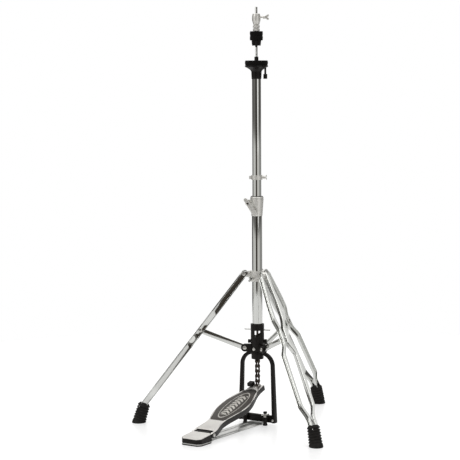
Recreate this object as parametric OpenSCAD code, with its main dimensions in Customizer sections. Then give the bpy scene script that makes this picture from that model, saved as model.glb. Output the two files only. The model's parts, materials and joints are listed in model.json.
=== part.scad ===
// Hi-hat stand: folding double-strip tripod, telescopic column, pull rod, clutch, chain-driven footboard.
// Millimetres. The column's axis is the Z axis, the floor is z = 0, and the pedal lies along -Y.

/* [Column] */
// Outer diameter of the lower tube
lower_od = 25.4; // [25:0.1:26]
// Wall of the lower tube
lower_wall = 1.2; // [1:0.1:1.2]
// Height of the lower tube's bottom end
lower_bottom_z = 214; // [212:1:218]
// Height of the lower tube's top end
lower_top_z = 553; // [550:1:560]
// Outer diameter of the upper tube
upper_od = 22.2; // [21.6:0.1:22.3]
// Wall of the upper tube
upper_wall = 1.2; // [1:0.1:2]
// Length of the upper tube hidden below the clamp's top
upper_insert = 148; // [120:1:160]
// Height of the seat cup's bottom, which is where the upper tube goes into it
cup_z = 872.6; // [820:1:920]
// Depth that the upper tube goes into the seat cup
cup_socket = 12; // [8:1:16]
// Diameter of the pull rod
rod_d = 6; // [5:0.5:7]
// Length of the pull rod above the cymbal seat's sleeve
rod_above_seat = 123.2; // [120:1:160]
// Radial clearance of a shaft in its bore
running_gap = 0.05; // [0.02:0.01:0.1]
// Gap between faces that pass each other
free_gap = 0.4; // [0.3:0.05:0.6]

/* [Height clamp] */
// Height of the clamp's lower edge
clamp_z = 530.2; // [525:1:535]
// Height of the clamp's body
clamp_h = 48.4; // [44:1:54]
// Diameter of the clamp at its top
clamp_top_d = 33; // [32:0.5:38]
// Diameter of the clamp at its bottom
clamp_bottom_d = 27.5; // [27.2:0.1:30]
// Outer diameter of the plastic bush in the clamp
bush_od = 27; // [26.4:0.1:28]
// Width of the clamp's slit
slit_w = 2; // [1:0.5:3]
// Distance of the clamp bolt from the column's axis
clamp_bolt_r = 22; // [20.5:0.5:24]
// Diameter of the clamp bolt
clamp_bolt_d = 6; // [5:0.5:7]
// Height of the clamp bolt
clamp_bolt_z = 563; // [561:1:565]
// Thickness of each clamp ear
ear_t = 5; // [4:0.5:6]
// Length of the lever of the clamp nut
lever_l = 38; // [25:1:40]
// Lean of the lever from the vertical
lever_angle = 34; // [20:1:50]

/* [Hub] */
// Height of the hub's bottom
hub_z = 166.8; // [164:0.1:168]
// Height of the hub's top
hub_top_z = 256.1; // [254:0.1:262]
// Diameter of the hub's upper block
hub_d = 34; // [33:0.5:38]
// Diameter of the hub's foot
hub_foot_d = 31; // [30:0.5:34]
// Height of the hub's foot, under its upper block
hub_foot_h = 6; // [4:0.5:10]
// Width of the window through the hub
window_w = 15; // [12:0.5:17]
// Height of the window's lowest edge
window_z = 225; // [223:1:228]
// Height of the brace pivots
brace_z = 195; // [192:1:198]
// Distance of the brace pivots from the column's axis
brace_r = 32; // [30:0.5:36]
// Radius of the lugs' rounded ends
lug_r = 9.5; // [8:0.5:10.5]
// Diameter of the brace and leg pivot bolts
pivot_d = 6; // [5:0.5:6.5]

/* [Spring tension] */
// Diameter of the tension pin
pin_d = 3.3; // [3:0.1:4]
// Length of the tension pin
pin_l = 68; // [60:1:76]
// Height of the tension pin
pin_z = 241; // [239:0.5:244]
// Bearing of the tension pin at rest, in degrees from +X
pin_angle = 15; // [5:1:20]
// Turn of the tension pin along its slot, in degrees
pin_turn = 24; // [12:1:30]
// Drop of the tension pin along its slot
pin_drop = 6; // [4:0.5:7]
// Length of the return spring at rest
spring_l = 106; // [80:1:140]
// Wire diameter of the return spring
wire_d = 1.3; // [1:0.1:1.5]
// Number of turns of the return spring
spring_turns = 14; // [8:1:18]

/* [Tripod] */
// Height of the leg collar's bottom
collar_z = 365.1; // [355:1:375]
// Height of the leg collar
collar_h = 26; // [22:1:32]
// Outer diameter of the leg collar
collar_d = 37; // [34:0.5:40]
// Distance of the leg pivots from the column's axis
leg_pivot_r = 33; // [32:0.5:36]
// Height of the leg pivots above the collar's bottom
leg_pivot_h = 18; // [14:0.5:20]
// Distance of the brace joint from the leg's own pivot
brace_joint = 182.6; // [176:0.5:190]
// Distance of the floor contact from the column's axis
foot_r = 304; // [296:1:312]
// Height of a leg strip's face
strip_h = 15.5; // [13:0.5:17]
// Depth of a leg strip's channel
strip_depth = 6.5; // [5:0.5:7]
// Sheet thickness of a leg strip
strip_t = 1.5; // [1.2:0.1:2]
// Half of the gap between the two strips at the collar
gap_top = 5; // [4.5:0.5:7]
// Half of the gap between the two strips above the brace
gap_upper = 9; // [8:0.5:12]
// Half of the gap between the two strips at the brace
gap_waist = 2.2; // [2.1:0.1:3]
// Half of the gap between the two strips below the brace
gap_lower = 13.2; // [11:0.5:15]
// Half of the gap between the two strips in the boot
gap_boot = 3; // [2.5:0.5:4]
// Length of a brace between its pivots
brace_l = 120; // [118:0.5:121]
// Thickness of a brace
brace_t = 3.4; // [3:0.1:3.6]
// Height of a brace's face
brace_h = 14; // [12:0.5:16]

/* [Boot] */
// Length of a rubber boot
boot_l = 52; // [46:1:58]
// Lean of a boot from the vertical
boot_angle = 17; // [12:1:22]
// Diameter of a boot's top
boot_top_d = 28; // [27:0.5:30]
// Diameter of a boot's bottom
boot_bottom_d = 35; // [32:0.5:38]
// Depth that the leg's strips go into the boot
boot_insert = 14; // [10:1:16]
// Number of ribs on a boot
boot_ribs = 5; // [3:1:7]

/* [Yoke] */
// Half of the yoke's outer width at its shoulders
yoke_w = 50; // [49:0.5:56]
// Half of the yoke's outer width at its feet
yoke_foot_w = 55; // [54:0.5:60]
// Outer radius of the yoke's shoulders
yoke_r = 36; // [32:1:38]
// Height of the yoke's top
yoke_top_z = 186; // [184:0.5:188]
// Height of the yoke's feet
yoke_z = 7; // [6:0.5:9]
// Width of the yoke's bar
yoke_t = 9; // [8:0.5:10]
// Depth of the yoke's bar at its feet
yoke_foot_depth = 16; // [14:0.5:18]
// Depth of the yoke's bar at its top
yoke_top_depth = 9; // [8:0.5:12]
// Height of the crossbar
crossbar_h = 18; // [14:0.5:20]
// Depth of the crossbar
crossbar_depth = 12; // [10:0.5:14]
// Distance of each spur screw from the pedal's middle
spur_x = 30; // [27:0.5:34]
// Diameter of a spur screw
spur_d = 6; // [5:0.5:7]

/* [Pedal] */
// Distance from the hinge to the column's axis
hinge_y = 243; // [235:1:250]
// Height of the hinge
hinge_z = 19; // [18:0.5:21]
// Slope of the footboard at rest
board_angle = 17; // [15:0.5:19]
// Diameter of the hinge pin
hinge_d = 6; // [5:0.5:7]
// Half width of the heel block
heel_w = 29; // [28:0.5:33]
// Length of the heel block behind the hinge
heel_l = 60; // [52:1:70]
// Height of the footboard's surface above the hinge, square to the board
board_top = 5.5; // [5:0.5:7]
// Depth of the footboard's side skirts
skirt_h = 14.5; // [12:0.5:16]
// Wall of the footboard
board_wall = 3.5; // [3:0.1:4]
// Half width of the footboard at its neck
neck_w = 23.5; // [22:0.5:27]
// Half width of the footboard at its widest
middle_w = 41; // [36:0.5:44]
// Half width of the footboard at its toe
toe_w = 17; // [15:0.5:20]
// Half width of the oval insert
inset_w = 34; // [28:0.5:35]
// Half length of the oval insert
inset_l = 91; // [80:1:95]
// Thickness of the oval insert
inset_t = 1.6; // [1:0.1:1.8]
// Thickness of the rubber pads on the floor
pad_t = 3; // [2:0.5:3.5]
// Thickness of the base plate
plate_t = 2; // [1.5:0.1:2.5]
// Half width of the base plate
plate_w = 27; // [24:0.5:28]

/* [Chain] */
// Distance between chain pins
pitch = 12.7; // [12.7:0.1:12.8]
// Height of the chain's top pin
chain_top_z = 173; // [172:0.5:174]
// Number of chain links
links = 6; // [6:2:8]
// Diameter of a chain pin
chain_pin_d = 3.6; // [3.2:0.1:3.8]
// Diameter of a chain roller
roller_d = 7.7; // [7:0.1:8.2]
// Width of a chain roller
roller_w = 5.2; // [4.8:0.1:5.6]
// Thickness of a chain plate
link_t = 1.2; // [1:0.1:1.4]
// Height of a chain plate
link_h = 10; // [9:0.1:10.4]

/* [Cymbal seat] */
// Diameter of the seat cup's body
cup_d = 26; // [25.6:0.1:28]
// Diameter of the seat felt and of the cup's flange
seat_d = 58; // [54:0.5:62]
// Height of the seat cup
cup_h = 32; // [30:0.5:36]
// Thickness of the tilting plate under the felt
disc_t = 2; // [1.6:0.1:2.4]
// Thickness of the seat felt
felt_t = 11.4; // [9:0.1:13]
// Diameter of the sleeve that centres the cymbal
sleeve_d = 10.2; // [9.8:0.1:11]
// Height of the sleeve above the felt
sleeve_h = 9.4; // [8:0.1:12]
// Distance of the tilt screw from the column's axis
tilt_r = 22; // [21:0.5:23]
// Thread pitch of the tilt screw
tilt_pitch = 1; // [0.8:0.1:1.25]
// Height of the cup's rim
cup_rim = 2.2; // [1.5:0.1:3]
// Height of the cup's flare and rim together
cup_flare = 9.5; // [7:0.5:12]
// Radius of the tilt screw's shank
tilt_rod_r = 2.5; // [2:0.1:3]
// Diameter of the tilt screw's knob
tilt_knob_d = 10; // [8:0.5:12]
// Height of the tilt screw's knob
tilt_knob_h = 12; // [8:0.5:14]
// Radius of the tilt screw's plastic tip
tilt_tip_r = 1.8; // [1.2:0.1:2.2]

/* [Clutch] */
// Gap between the cymbal seat's sleeve and the clutch's bottom nut
clutch_gap = 27.2; // [26:0.1:32]
// Diameter of the clutch felts
clutch_felt_d = 33; // [30:0.5:36]
// Thickness of each clutch felt
clutch_felt_t = 11; // [9:0.5:12]
// Gap between the two clutch felts
clutch_felt_gap = 0.8; // [0.6:0.1:2]
// Diameter of the clutch's threaded sleeve
clutch_sleeve_d = 12; // [11:0.5:13]
// Diameter of the clutch body
clutch_d = 21; // [20:0.5:24]
// Height of the clutch body
clutch_body_h = 29; // [26:0.5:32]
// Diameter of the clutch's bottom nut
clutch_nut_d = 24.5; // [22:0.5:26]

/* [Memory lock] */
// Height of the memory lock's bottom
memory_z = 621.4; // [600:1:660]
// Height of the memory lock
memory_h = 11; // [9:0.5:13]
// Wall of the memory lock
memory_wall = 3; // [2.5:0.1:4]
// Radius of the memory lock's screw boss
memory_boss_r = 4; // [3:0.5:5]
// Radius of the memory lock's screw
memory_screw_r = 2.5; // [2:0.1:3]
// Height of the memory lock's wing
memory_wing_h = 13; // [10:0.5:16]
// Length of the memory lock's wing
memory_wing_l = 4; // [3:0.5:8]

/* [Hidden] */
$fn = 48;

// bearings of the three legs
left_dir = 210;
right_dir = 330;
rear_dir = 90;

// column
rod_r = rod_d / 2;
lower_r = lower_od / 2;
lower_bore = lower_r - lower_wall;
upper_r = upper_od / 2;
clamp_top_z = clamp_z + clamp_h;
bush_lip = 1;
upper_bottom_z = clamp_top_z - upper_insert;
upper_top_z = cup_z + cup_socket;
cup_top_z = cup_z + cup_h;
disc_gap = 0.3;
sleeve_step = 0.2;
seat_play = 1.4;
disc_z = cup_top_z + disc_gap;
seat_felt_z = disc_z + disc_t;
seat_top_z = seat_felt_z + felt_t;
sleeve_top_z = seat_top_z + sleeve_h;
tilt_tip_h = 2;
wing_t = 3;
wing_collar = 1.6;
tilt_tip_z = disc_z - 0.15 - tilt_tip_h;
rod_top_z = sleeve_top_z + rod_above_seat;

// height clamp: its ears point left, and its bolt runs towards the front right
clamp_dir = 210;
clamp_ear_r = 7.5;
lever_w = 13;
lever_t = 5;
lever_hub_d = 13;
lever_hub_l = 16.5;
bolt_head_h = 4;
bolt_head_d = 10;

// hub
hub_bore_r = lower_bore - 0.9;
window_dir = 300;
window_h = 15;
step_h = 4;
lug_gap = brace_t / 2 + free_gap;
lug_t = 3.4;
lug_outer = lug_gap + lug_t;
pin_slot_steps = 6;
slot_room = 0.7;

// spring train: seat on the pin, spring round the link, retainer on the rod
seat_t = 2.8;
spring_seat_z = pin_z + pin_d / 2 + running_gap;
spring_z = spring_seat_z + seat_t;
coil_r = lower_bore - wire_d / 2 - 0.6;
retainer_h = 6;
strap_y = 5;
strap_t = 3;
strap_w = 4;
link_bottom_z = chain_top_z + 17;
link_block_h = 6;
link_top_z = spring_z + 28;

// tripod: the leg runs from its pivot through the brace joint
collar_bore = lower_r + running_gap;
leg_pivot_z = collar_z + leg_pivot_h;
triangle_d = leg_pivot_z - brace_z;
pivot_offset = leg_pivot_r - brace_r;
pivot_gap = sqrt(triangle_d * triangle_d + pivot_offset * pivot_offset);
joint_cos = (brace_joint * brace_joint + pivot_gap * pivot_gap - brace_l * brace_l)
    / (2 * brace_joint * pivot_gap);
leg_angle = acos(joint_cos) - atan(pivot_offset / triangle_d);
joint_r = leg_pivot_r + brace_joint * sin(leg_angle);
joint_z = leg_pivot_z - brace_joint * cos(leg_angle);
brace_angle = atan((joint_z - brace_z) / (joint_r - brace_r));
boot_top_z = boot_l * cos(boot_angle);
boot_top_r = foot_r - boot_l * sin(boot_angle);
strip_l = (leg_pivot_z - boot_top_z + boot_insert) / cos(leg_angle);
collar_lug_w = gap_top - free_gap;
leg_pin_l = gap_top + strip_t + free_gap;

// pedal
slope_sin = sin(board_angle);
slope_cos = cos(board_angle);
toe_s = hinge_y / slope_cos;
board_start = 10.5;
lug_in = heel_w - 4.7;
lug_out = lug_in + 6;
boss_w = lug_in - free_gap;
boss_r = 8;
hinge_head_d = 9;
hinge_head_t = 2;
heel_front_z = 24;
heel_rear_z = 17.5;
heel_skin = 1.6;
floor_top = pad_t + plate_t;
heel_rear_y = -hinge_y - heel_l;
heel_front_y = -hinge_y - boss_r - 1;
neck_s = 52;
middle_s = 140;
inset_s = 141;
anchor_z = chain_top_z - pitch * links;
anchor_clear = 0.7;
anchor_s = hinge_y * slope_cos + (anchor_z - hinge_z) * slope_sin;
notch_l = 9;
fork_l = anchor_s - (toe_s - notch_l);
chain_eye_r = 1.6;
tongue_w = roller_w / 2 - 0.1;
plate_in = roller_w / 2;
plate_mid = plate_in + link_t + 0.1;

// clutch
clutch_z = sleeve_top_z + clutch_gap;
clutch_nut_h = 13;
clutch_felt_z = clutch_z + clutch_nut_h;
clutch_felt_top = clutch_felt_z + 2 * clutch_felt_t + clutch_felt_gap;
clutch_nut_gap = 1;
top_nut_h = 7;
clutch_body_z = clutch_felt_top + clutch_nut_gap + 2 * top_nut_h + clutch_nut_gap;
screw_dir = 30;

// hub bolt and side bosses
hub_bolt_r = 4;
hub_bolt_z = brace_z - 2;
hub_bolt_sink = 2;
boss_l = 48;
boss_t = 10;
boss_z = 208;
boss_h = 8;

// smooth step from 0 to 1 as t runs from 0 to 1
function ease(t) = t <= 0 ? 0 : t >= 1 ? 1 : t * t * (3 - 2 * t);
// points of a circular arc
function arc(cx, cy, r, a0, a1, n) =
    [for (i = [0:n]) [cx + r * cos(a0 + (a1 - a0) * i / n), cy + r * sin(a0 + (a1 - a0) * i / n)]];
function mirrored(points) = [for (i = [len(points) - 1:-1:0]) [-points[i][0], points[i][1]]];

// half gap between a leg's strips at the distance t down the leg
function half_gap(t) =
    t < brace_joint * 0.35 ? gap_top + (gap_upper - gap_top) * ease((t - 12) / 34)
        - (gap_upper - gap_waist) * ease((t - brace_joint * 0.7) / (brace_joint * 0.2))
    : t < brace_joint ? gap_upper - (gap_upper - gap_waist)
        * ease((t - brace_joint * 0.66) / (brace_joint * 0.24))
    : t < strip_l * 0.8 ? gap_waist + (gap_lower - gap_waist) * ease((t - brace_joint - 12) / 36)
    : gap_lower - (gap_lower - gap_boot) * ease((t - strip_l * 0.83) / (strip_l * 0.09));
strip_n = 64;
// edge of a strip, at the distance d outside its inner face
function strip_edge(d) = [for (i = [0:strip_n]) [-10 + (strip_l + 10) * i / strip_n,
    half_gap((strip_l + 10) * i / strip_n - 10) + d]];
function reversed(points) = [for (i = [len(points) - 1:-1:0]) points[i]];
function band(d0, d1) = concat(strip_edge(d0), reversed(strip_edge(d1)));

// half width of the footboard at the distance s from the hinge
function board_w(s) =
    s < neck_s ? lug_out + (neck_w - lug_out) * ease((s - board_start) / (neck_s - board_start))
    : s < middle_s ? neck_w + (middle_w - neck_w) * ease((s - neck_s) / (middle_s - neck_s))
    : middle_w + (toe_w - middle_w) * ease((s - middle_s) / (toe_s - 8 - middle_s));
board_n = 40;
function board_edge(inset, s0, s1) =
    [for (i = [0:board_n]) [board_w(s0 + (s1 - s0) * i / board_n) - inset, s0 + (s1 - s0) * i / board_n]];
function board_outline(inset, s0, s1) =
    concat(board_edge(inset, s0, s1), mirrored(board_edge(inset, s0, s1)));
function oval(grow) =
    [for (i = [0:59]) [(inset_w + grow) * cos(i * 6), inset_s + (inset_l + grow) * sin(i * 6)]];

module ring(r0, r1, z0, z1) {
    rotate_extrude($fn = 72) translate([r0, z0]) square([r1 - r0, z1 - z0]);
}
module at_dir(angle) { rotate([0, 0, angle]) children(); }
// a rod along +X from x0 to x1
module rod_x(r, x0, x1) { translate([x0, 0, 0]) rotate([0, 90, 0]) cylinder(r = r, h = x1 - x0); }
// a rod along +Y from y0 to y1
module rod_y(r, y0, y1) { translate([0, y0, 0]) rotate([-90, 0, 0]) cylinder(r = r, h = y1 - y0); }
module hex_y(d, y0, y1) { translate([0, y0, 0]) rotate([-90, 0, 0]) cylinder(d = d, h = y1 - y0, $fn = 6); }

// ---- column, standing part
module lower_tube() {
    color("silver") difference() {
        ring(lower_bore, lower_r, lower_bottom_z, lower_top_z);
        hub_window();
        pin_slots(lower_r + 1);
    }
}
module height_clamp() {
    color("silver") difference() {
        union() {
            rotate_extrude($fn = 72) polygon([[lower_r, clamp_z], [clamp_bottom_d / 2, clamp_z],
                [clamp_top_d / 2, clamp_z + clamp_h - 8], [clamp_top_d / 2, clamp_top_z - 1.5],
                [clamp_top_d / 2 - 1, clamp_top_z], [lower_r, clamp_top_z]]);
            at_dir(clamp_dir) for (side = [-1, 1]) clamp_ear(side);
        }
        translate([0, 0, clamp_z - 1]) cylinder(r = lower_r, h = lower_top_z - clamp_z + 1.01, $fn = 72);
        translate([0, 0, lower_top_z]) cylinder(d = bush_od, h = clamp_h, $fn = 72);
        at_dir(clamp_dir) translate([0, -slit_w / 2, lower_top_z - 9]) cube([40, slit_w, clamp_h]);
        at_dir(clamp_dir) translate([clamp_bolt_r, 0, clamp_bolt_z])
            rod_y(clamp_bolt_d / 2 + running_gap, -20, 20);
    }
}
module clamp_ear(side) {
    inner = side > 0 ? slit_w / 2 : -slit_w / 2 - ear_t;
    translate([0, inner, 0]) {
        translate([clamp_bolt_r, 0, clamp_bolt_z]) rod_y(clamp_ear_r, 0, ear_t);
        translate([lower_r + 1, 0, clamp_bolt_z - clamp_ear_r])
            cube([clamp_bolt_r - lower_r - 1, ear_t, 2 * clamp_ear_r]);
    }
}
module clamp_bush() {
    color("black") union() {
        ring(upper_r + running_gap, bush_od / 2, lower_top_z, clamp_top_z);
        ring(upper_r + running_gap, bush_od / 2 + 1.5, clamp_top_z, clamp_top_z + bush_lip);
    }
}
module clamp_bolt() {
    outer = slit_w / 2 + ear_t;
    color("silver") at_dir(clamp_dir) translate([clamp_bolt_r, 0, clamp_bolt_z]) {
        hex_y(bolt_head_d, -outer - bolt_head_h, -outer);
        rod_y(clamp_bolt_d / 2, -outer, outer + lever_hub_l + 2);
    }
}
module clamp_lever() {
    outer = slit_w / 2 + ear_t + free_gap;
    color("silver") at_dir(clamp_dir) translate([clamp_bolt_r, 0, clamp_bolt_z]) difference() {
        union() {
            rod_y(lever_hub_d / 2, outer, outer + lever_hub_l);
            rotate([0, lever_angle, 0]) translate([0, outer + lever_hub_l - lever_t, 0]) rotate([-90, 0, 0])
                linear_extrude(lever_t) lever_outline();
        }
        rod_y(clamp_bolt_d / 2 + running_gap, 0, 40);
    }
}
// blade with a rounded tip, longer below the bolt than above it; the outline's +Y is down
module lever_outline() {
    polygon(concat([[-5, -4], [5, -4]], arc(0, lever_l - lever_w / 2, lever_w / 2, 0, 180, 12)));
    polygon(concat(arc(0, -11, 4.5, 180, 360, 10), [[5, 0], [-5, 0]]));
}

// ---- hub and yoke
module window_outline() {
    polygon([[-window_w / 2, 0], [0, 0], [window_w * 0.22, step_h], [window_w / 2, step_h + 3],
        [window_w / 2, window_h], [-window_w / 2, window_h]]);
}
module hub_window() {
    at_dir(window_dir) translate([-hub_d, 0, window_z]) rotate([90, 0, 90])
        linear_extrude(2 * hub_d) window_outline();
}
module pin_slots(r) {
    for (i = [0:pin_slot_steps], side = [0, 180]) {
        half = pin_d / 2 + slot_room;
        drop = pin_drop * i / pin_slot_steps;
        at_dir(pin_angle + side + pin_turn * i / pin_slot_steps)
            translate([0, -half, pin_z - drop - half]) cube([r, 2 * half, 2 * half]);
    }
}
module hub_lug(direction) {
    at_dir(direction) for (side = [-1, 1]) translate([0, side > 0 ? lug_gap : -lug_outer, 0]) {
        translate([brace_r, 0, brace_z]) rod_y(lug_r, 0, lug_t);
        translate([hub_foot_d / 2 - 4, 0, brace_z - lug_r])
            cube([brace_r - hub_foot_d / 2 + 4, lug_t, 2 * lug_r]);
    }
}
module lug_bores() {
    for (direction = [left_dir, right_dir, rear_dir]) at_dir(direction) translate([brace_r, 0, brace_z])
        rod_y(pivot_d / 2, -20, 20);
}
module hub_casting() {
    color("#1c1a19") difference() {
        union() {
            translate([0, 0, yoke_top_z]) cylinder(d = hub_foot_d, h = hub_foot_h, $fn = 72);
            translate([0, 0, yoke_top_z + hub_foot_h])
                cylinder(d = hub_d, h = hub_top_z - yoke_top_z - hub_foot_h, $fn = 72);
            for (direction = [left_dir, right_dir, rear_dir]) hub_lug(direction);
            at_dir(screw_dir) translate([-boss_l / 2, -boss_t / 2, boss_z]) cube([boss_l, boss_t, boss_h]);
        }
        translate([0, 0, -1]) cylinder(r = hub_bore_r, h = lower_bottom_z + 1, $fn = 72);
        translate([0, 0, lower_bottom_z]) cylinder(r = lower_r, h = hub_top_z, $fn = 72);
        hub_window();
        pin_slots(hub_d);
        lug_bores();
        hub_bolt();
    }
}
module hub_bolt() {
    at_dir(270) translate([0, 0, hub_bolt_z])
        rod_x(hub_bolt_r, hub_d / 2 - hub_bolt_sink, hub_d / 2 + hub_bolt_sink);
}
module frame_bolts() {
    color("silver") union() {
        hub_bolt();
        for (side = [-1, 1])
            translate([side * (yoke_foot_w - yoke_t / 2 - 1), -yoke_foot_depth / 2, yoke_z + 7])
            rotate([90, 0, 0]) cylinder(r = 3.2, h = 2);
    }
}
module brace_pins() {
    color("silver") for (direction = [left_dir, right_dir, rear_dir])
        at_dir(direction) translate([brace_r, 0, brace_z]) union() {
            rod_y(pivot_d / 2, -lug_outer, lug_outer);
            rod_y(pivot_d / 2 + 2, lug_outer, lug_outer + 2.5);
            rod_y(pivot_d / 2 + 2, -lug_outer - 2.5, -lug_outer);
        }
}
// half of the yoke's outline, seen from the front, at the distance d inside its outer face
function yoke_side(d) = concat([[yoke_foot_w - d, yoke_z]],
    arc(yoke_w - yoke_r, yoke_top_z - yoke_r, yoke_r - d, 0, 90, 9));
module yoke_profile() {
    polygon(concat(yoke_side(0), mirrored(yoke_side(0)), reversed(mirrored(yoke_side(yoke_t))),
        reversed(yoke_side(yoke_t))));
}
// everything outside one sloping face of the yoke's bar
module yoke_taper() {
    slope = atan((yoke_foot_depth - yoke_top_depth) / 2 / (yoke_top_z - yoke_z));
    translate([-100, yoke_foot_depth / 2, yoke_z]) rotate([slope, 0, 0])
        translate([0, 0, -20]) cube([200, 40, 240]);
}
module yoke() {
    color("#1c1a19") difference() {
        union() {
            difference() {
                translate([0, yoke_foot_depth / 2, 0]) rotate([90, 0, 0])
                    linear_extrude(yoke_foot_depth) yoke_profile();
                yoke_taper();
                mirror([0, 1, 0]) yoke_taper();
            }
            translate([0, 0, hub_z]) cylinder(d = hub_foot_d, h = yoke_top_z - hub_z - 0.2, $fn = 72);
        }
        translate([0, 0, hub_z - 1]) cylinder(r = hub_bore_r, h = 40, $fn = 72);
        for (direction = [left_dir, right_dir, rear_dir]) lug_cut(direction);
    }
}
// room for a lug's ears and brace in the yoke's collar
module lug_cut(direction) {
    at_dir(direction) translate([0, -lug_outer - 3, brace_z - lug_r - free_gap])
        cube([60, 2 * lug_outer + 6, 20]);
}
module crossbar() {
    half = yoke_foot_w - yoke_t - 0.8;
    color("#1c1a19") difference() {
        union() {
            translate([-half, -crossbar_depth / 2, yoke_z]) cube([2 * half, crossbar_depth, crossbar_h - 3]);
            translate([-half, -crossbar_depth / 2 + 2, yoke_z])
                cube([2 * half, crossbar_depth - 4, crossbar_h]);
            for (side = [-1, 1]) translate([side * spur_x, -crossbar_depth / 2 - spur_d, yoke_z + 4])
                cylinder(d = 2 * spur_d + 1, h = 10);
        }
        for (side = [-1, 1]) translate([side * spur_x, -crossbar_depth / 2 - spur_d, 0])
            cylinder(r = spur_d / 2 + running_gap, h = 60);
    }
}
// a vertical screw with a knob above, a wing nut under the crossbar's boss and a rubber tip on the floor
module spur(side) {
    boss_top = yoke_z + 14 + free_gap;
    boss_bottom = yoke_z + 4 - free_gap;
    color("silver") translate([side * spur_x, -crossbar_depth / 2 - spur_d, 0]) {
        cylinder(d = spur_d, h = boss_top + 12);
        translate([0, 0, boss_top + 9.5]) cylinder(d = 10, h = 5);
        translate([0, 0, boss_top]) cylinder(d = 9, h = 5);
        translate([0, 0, yoke_z + crossbar_h + 0.8]) rotate([0, 0, 60])
            translate([-11, -1.5, 0]) cube([22, 3, 4]);
        translate([0, 0, 0.2]) cylinder(d1 = 12, d2 = 10, h = boss_bottom - 0.4);
    }
}
module left_spur() { spur(-1); }
module right_spur() { spur(1); }

// ---- base and heel
module base_plate() {
    color("silver") translate([0, 0, pad_t]) linear_extrude(plate_t)
        polygon([[-plate_w + 6, heel_rear_y], [plate_w - 6, heel_rear_y], [plate_w + 2, heel_rear_y + 9],
            [plate_w + 2, -hinge_y - 8], [plate_w - 3, -hinge_y + 6], [plate_w - 3, -30], [plate_w - 8, 14],
            [-plate_w + 8, 14], [-plate_w + 3, -30], [-plate_w + 3, -hinge_y + 6], [-plate_w - 2, -hinge_y - 8],
            [-plate_w - 2, heel_rear_y + 9]]);
}
module rubber_pads() {
    color("#2a2a28") linear_extrude(pad_t) {
        polygon([[-plate_w + 6, heel_rear_y], [plate_w - 6, heel_rear_y], [plate_w + 2, heel_rear_y + 9],
            [plate_w + 2, -hinge_y - 8], [-plate_w - 2, -hinge_y - 8], [-plate_w - 2, heel_rear_y + 9]]);
        translate([-18, -14]) square([36, 28]);
    }
}
// the heel block's outline from above, its rear corners bevelled
module heel_outline(inset) {
    polygon([[-heel_w + 9, heel_rear_y + inset], [heel_w - 9, heel_rear_y + inset],
        [heel_w - inset, heel_rear_y + 9], [heel_w - inset, heel_front_y], [boss_w - inset, heel_front_y],
        [boss_w - inset, -hinge_y], [-boss_w + inset, -hinge_y], [-boss_w + inset, heel_front_y],
        [-heel_w + inset, heel_front_y], [-heel_w + inset, heel_rear_y + 9]]);
}
// everything under the heel's sloping surface lowered by d
module heel_slope(d) {
    rotate([90, 0, 90]) translate([0, 0, -heel_w]) linear_extrude(2 * heel_w)
        polygon([[heel_rear_y - 1, 0], [-hinge_y + 1, 0],
            [-hinge_y + 1, heel_front_z - d], [heel_rear_y - 1, heel_rear_z - d]]);
}
module heel_block() {
    color("#1c1a19") difference() {
        union() {
            intersection() {
                translate([0, 0, floor_top]) linear_extrude(40) heel_outline(0);
                heel_slope(heel_skin);
            }
            translate([0, -hinge_y, hinge_z]) rod_x(boss_r - heel_skin, -boss_w, boss_w);
        }
        translate([0, -hinge_y, hinge_z]) rod_x(hinge_d / 2, -heel_w, heel_w);
    }
}
module heel_plate() {
    color("silver") difference() {
        intersection() {
            translate([0, 0, floor_top]) linear_extrude(40) heel_outline(0.6);
            heel_slope(0);
        }
        intersection() {
            translate([-heel_w - 1, heel_rear_y - 2, 0]) cube([2 * heel_w + 2, heel_l + 4, 60]);
            heel_slope(heel_skin);
        }
        translate([0, -hinge_y, hinge_z]) rod_x(boss_r - heel_skin, -boss_w, boss_w);
    }
}
module hinge_pin() {
    color("silver") translate([0, -hinge_y, hinge_z]) union() {
        rod_x(hinge_d / 2, -lug_out - free_gap, lug_out + free_gap);
        rod_x(hinge_head_d / 2, lug_out + free_gap, lug_out + free_gap + hinge_head_t);
        rod_x(hinge_head_d / 2, -lug_out - free_gap - hinge_head_t, -lug_out - free_gap);
    }
}

// ---- spring train
function coil_center(t) = [coil_r * cos(360 * spring_turns * t), coil_r * sin(360 * spring_turns * t),
    spring_z + wire_d / 2 + (spring_l - wire_d) * t];
coil_sides = 6;
coil_rings = spring_turns * 12;
function coil_ring(i) = [for (k = [0:coil_sides - 1])
    let (t = i / coil_rings, c = coil_center(t), a = 360 * spring_turns * t,
        b = 360 * k / coil_sides, w = wire_d / 2)
    [c[0] + w * cos(b) * cos(a), c[1] + w * cos(b) * sin(a), c[2] + w * sin(b)]];
module return_spring() {
    points = [for (i = [0:coil_rings]) each coil_ring(i)];
    last = coil_rings * coil_sides;
    sides = [for (i = [0:coil_rings - 1], k = [0:coil_sides - 1])
        [i * coil_sides + k, i * coil_sides + (k + 1) % coil_sides,
            (i + 1) * coil_sides + (k + 1) % coil_sides, (i + 1) * coil_sides + k]];
    color("dimgray") polyhedron(points, concat(sides, [[for (k = [coil_sides - 1:-1:0]) k]],
        [[for (k = [0:coil_sides - 1]) last + k]]));
}
module spring_seat() {
    color("dimgray") difference() {
        ring(0.01, lower_bore - 0.4, spring_seat_z, spring_seat_z + seat_t);
        for (side = [-1, 1]) at_dir(pin_angle + pin_turn / 2)
            translate([-strap_w / 2 - 0.6,
                side > 0 ? strap_y - 0.5 : -strap_y - strap_t - 0.5, spring_seat_z - 1])
                cube([strap_w + 1.2, strap_t + 1, seat_t + 2]);
    }
}
module tension_pin() {
    color("silver") at_dir(pin_angle) translate([0, 0, pin_z]) rod_x(pin_d / 2, -pin_l / 2, pin_l / 2);
}
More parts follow.
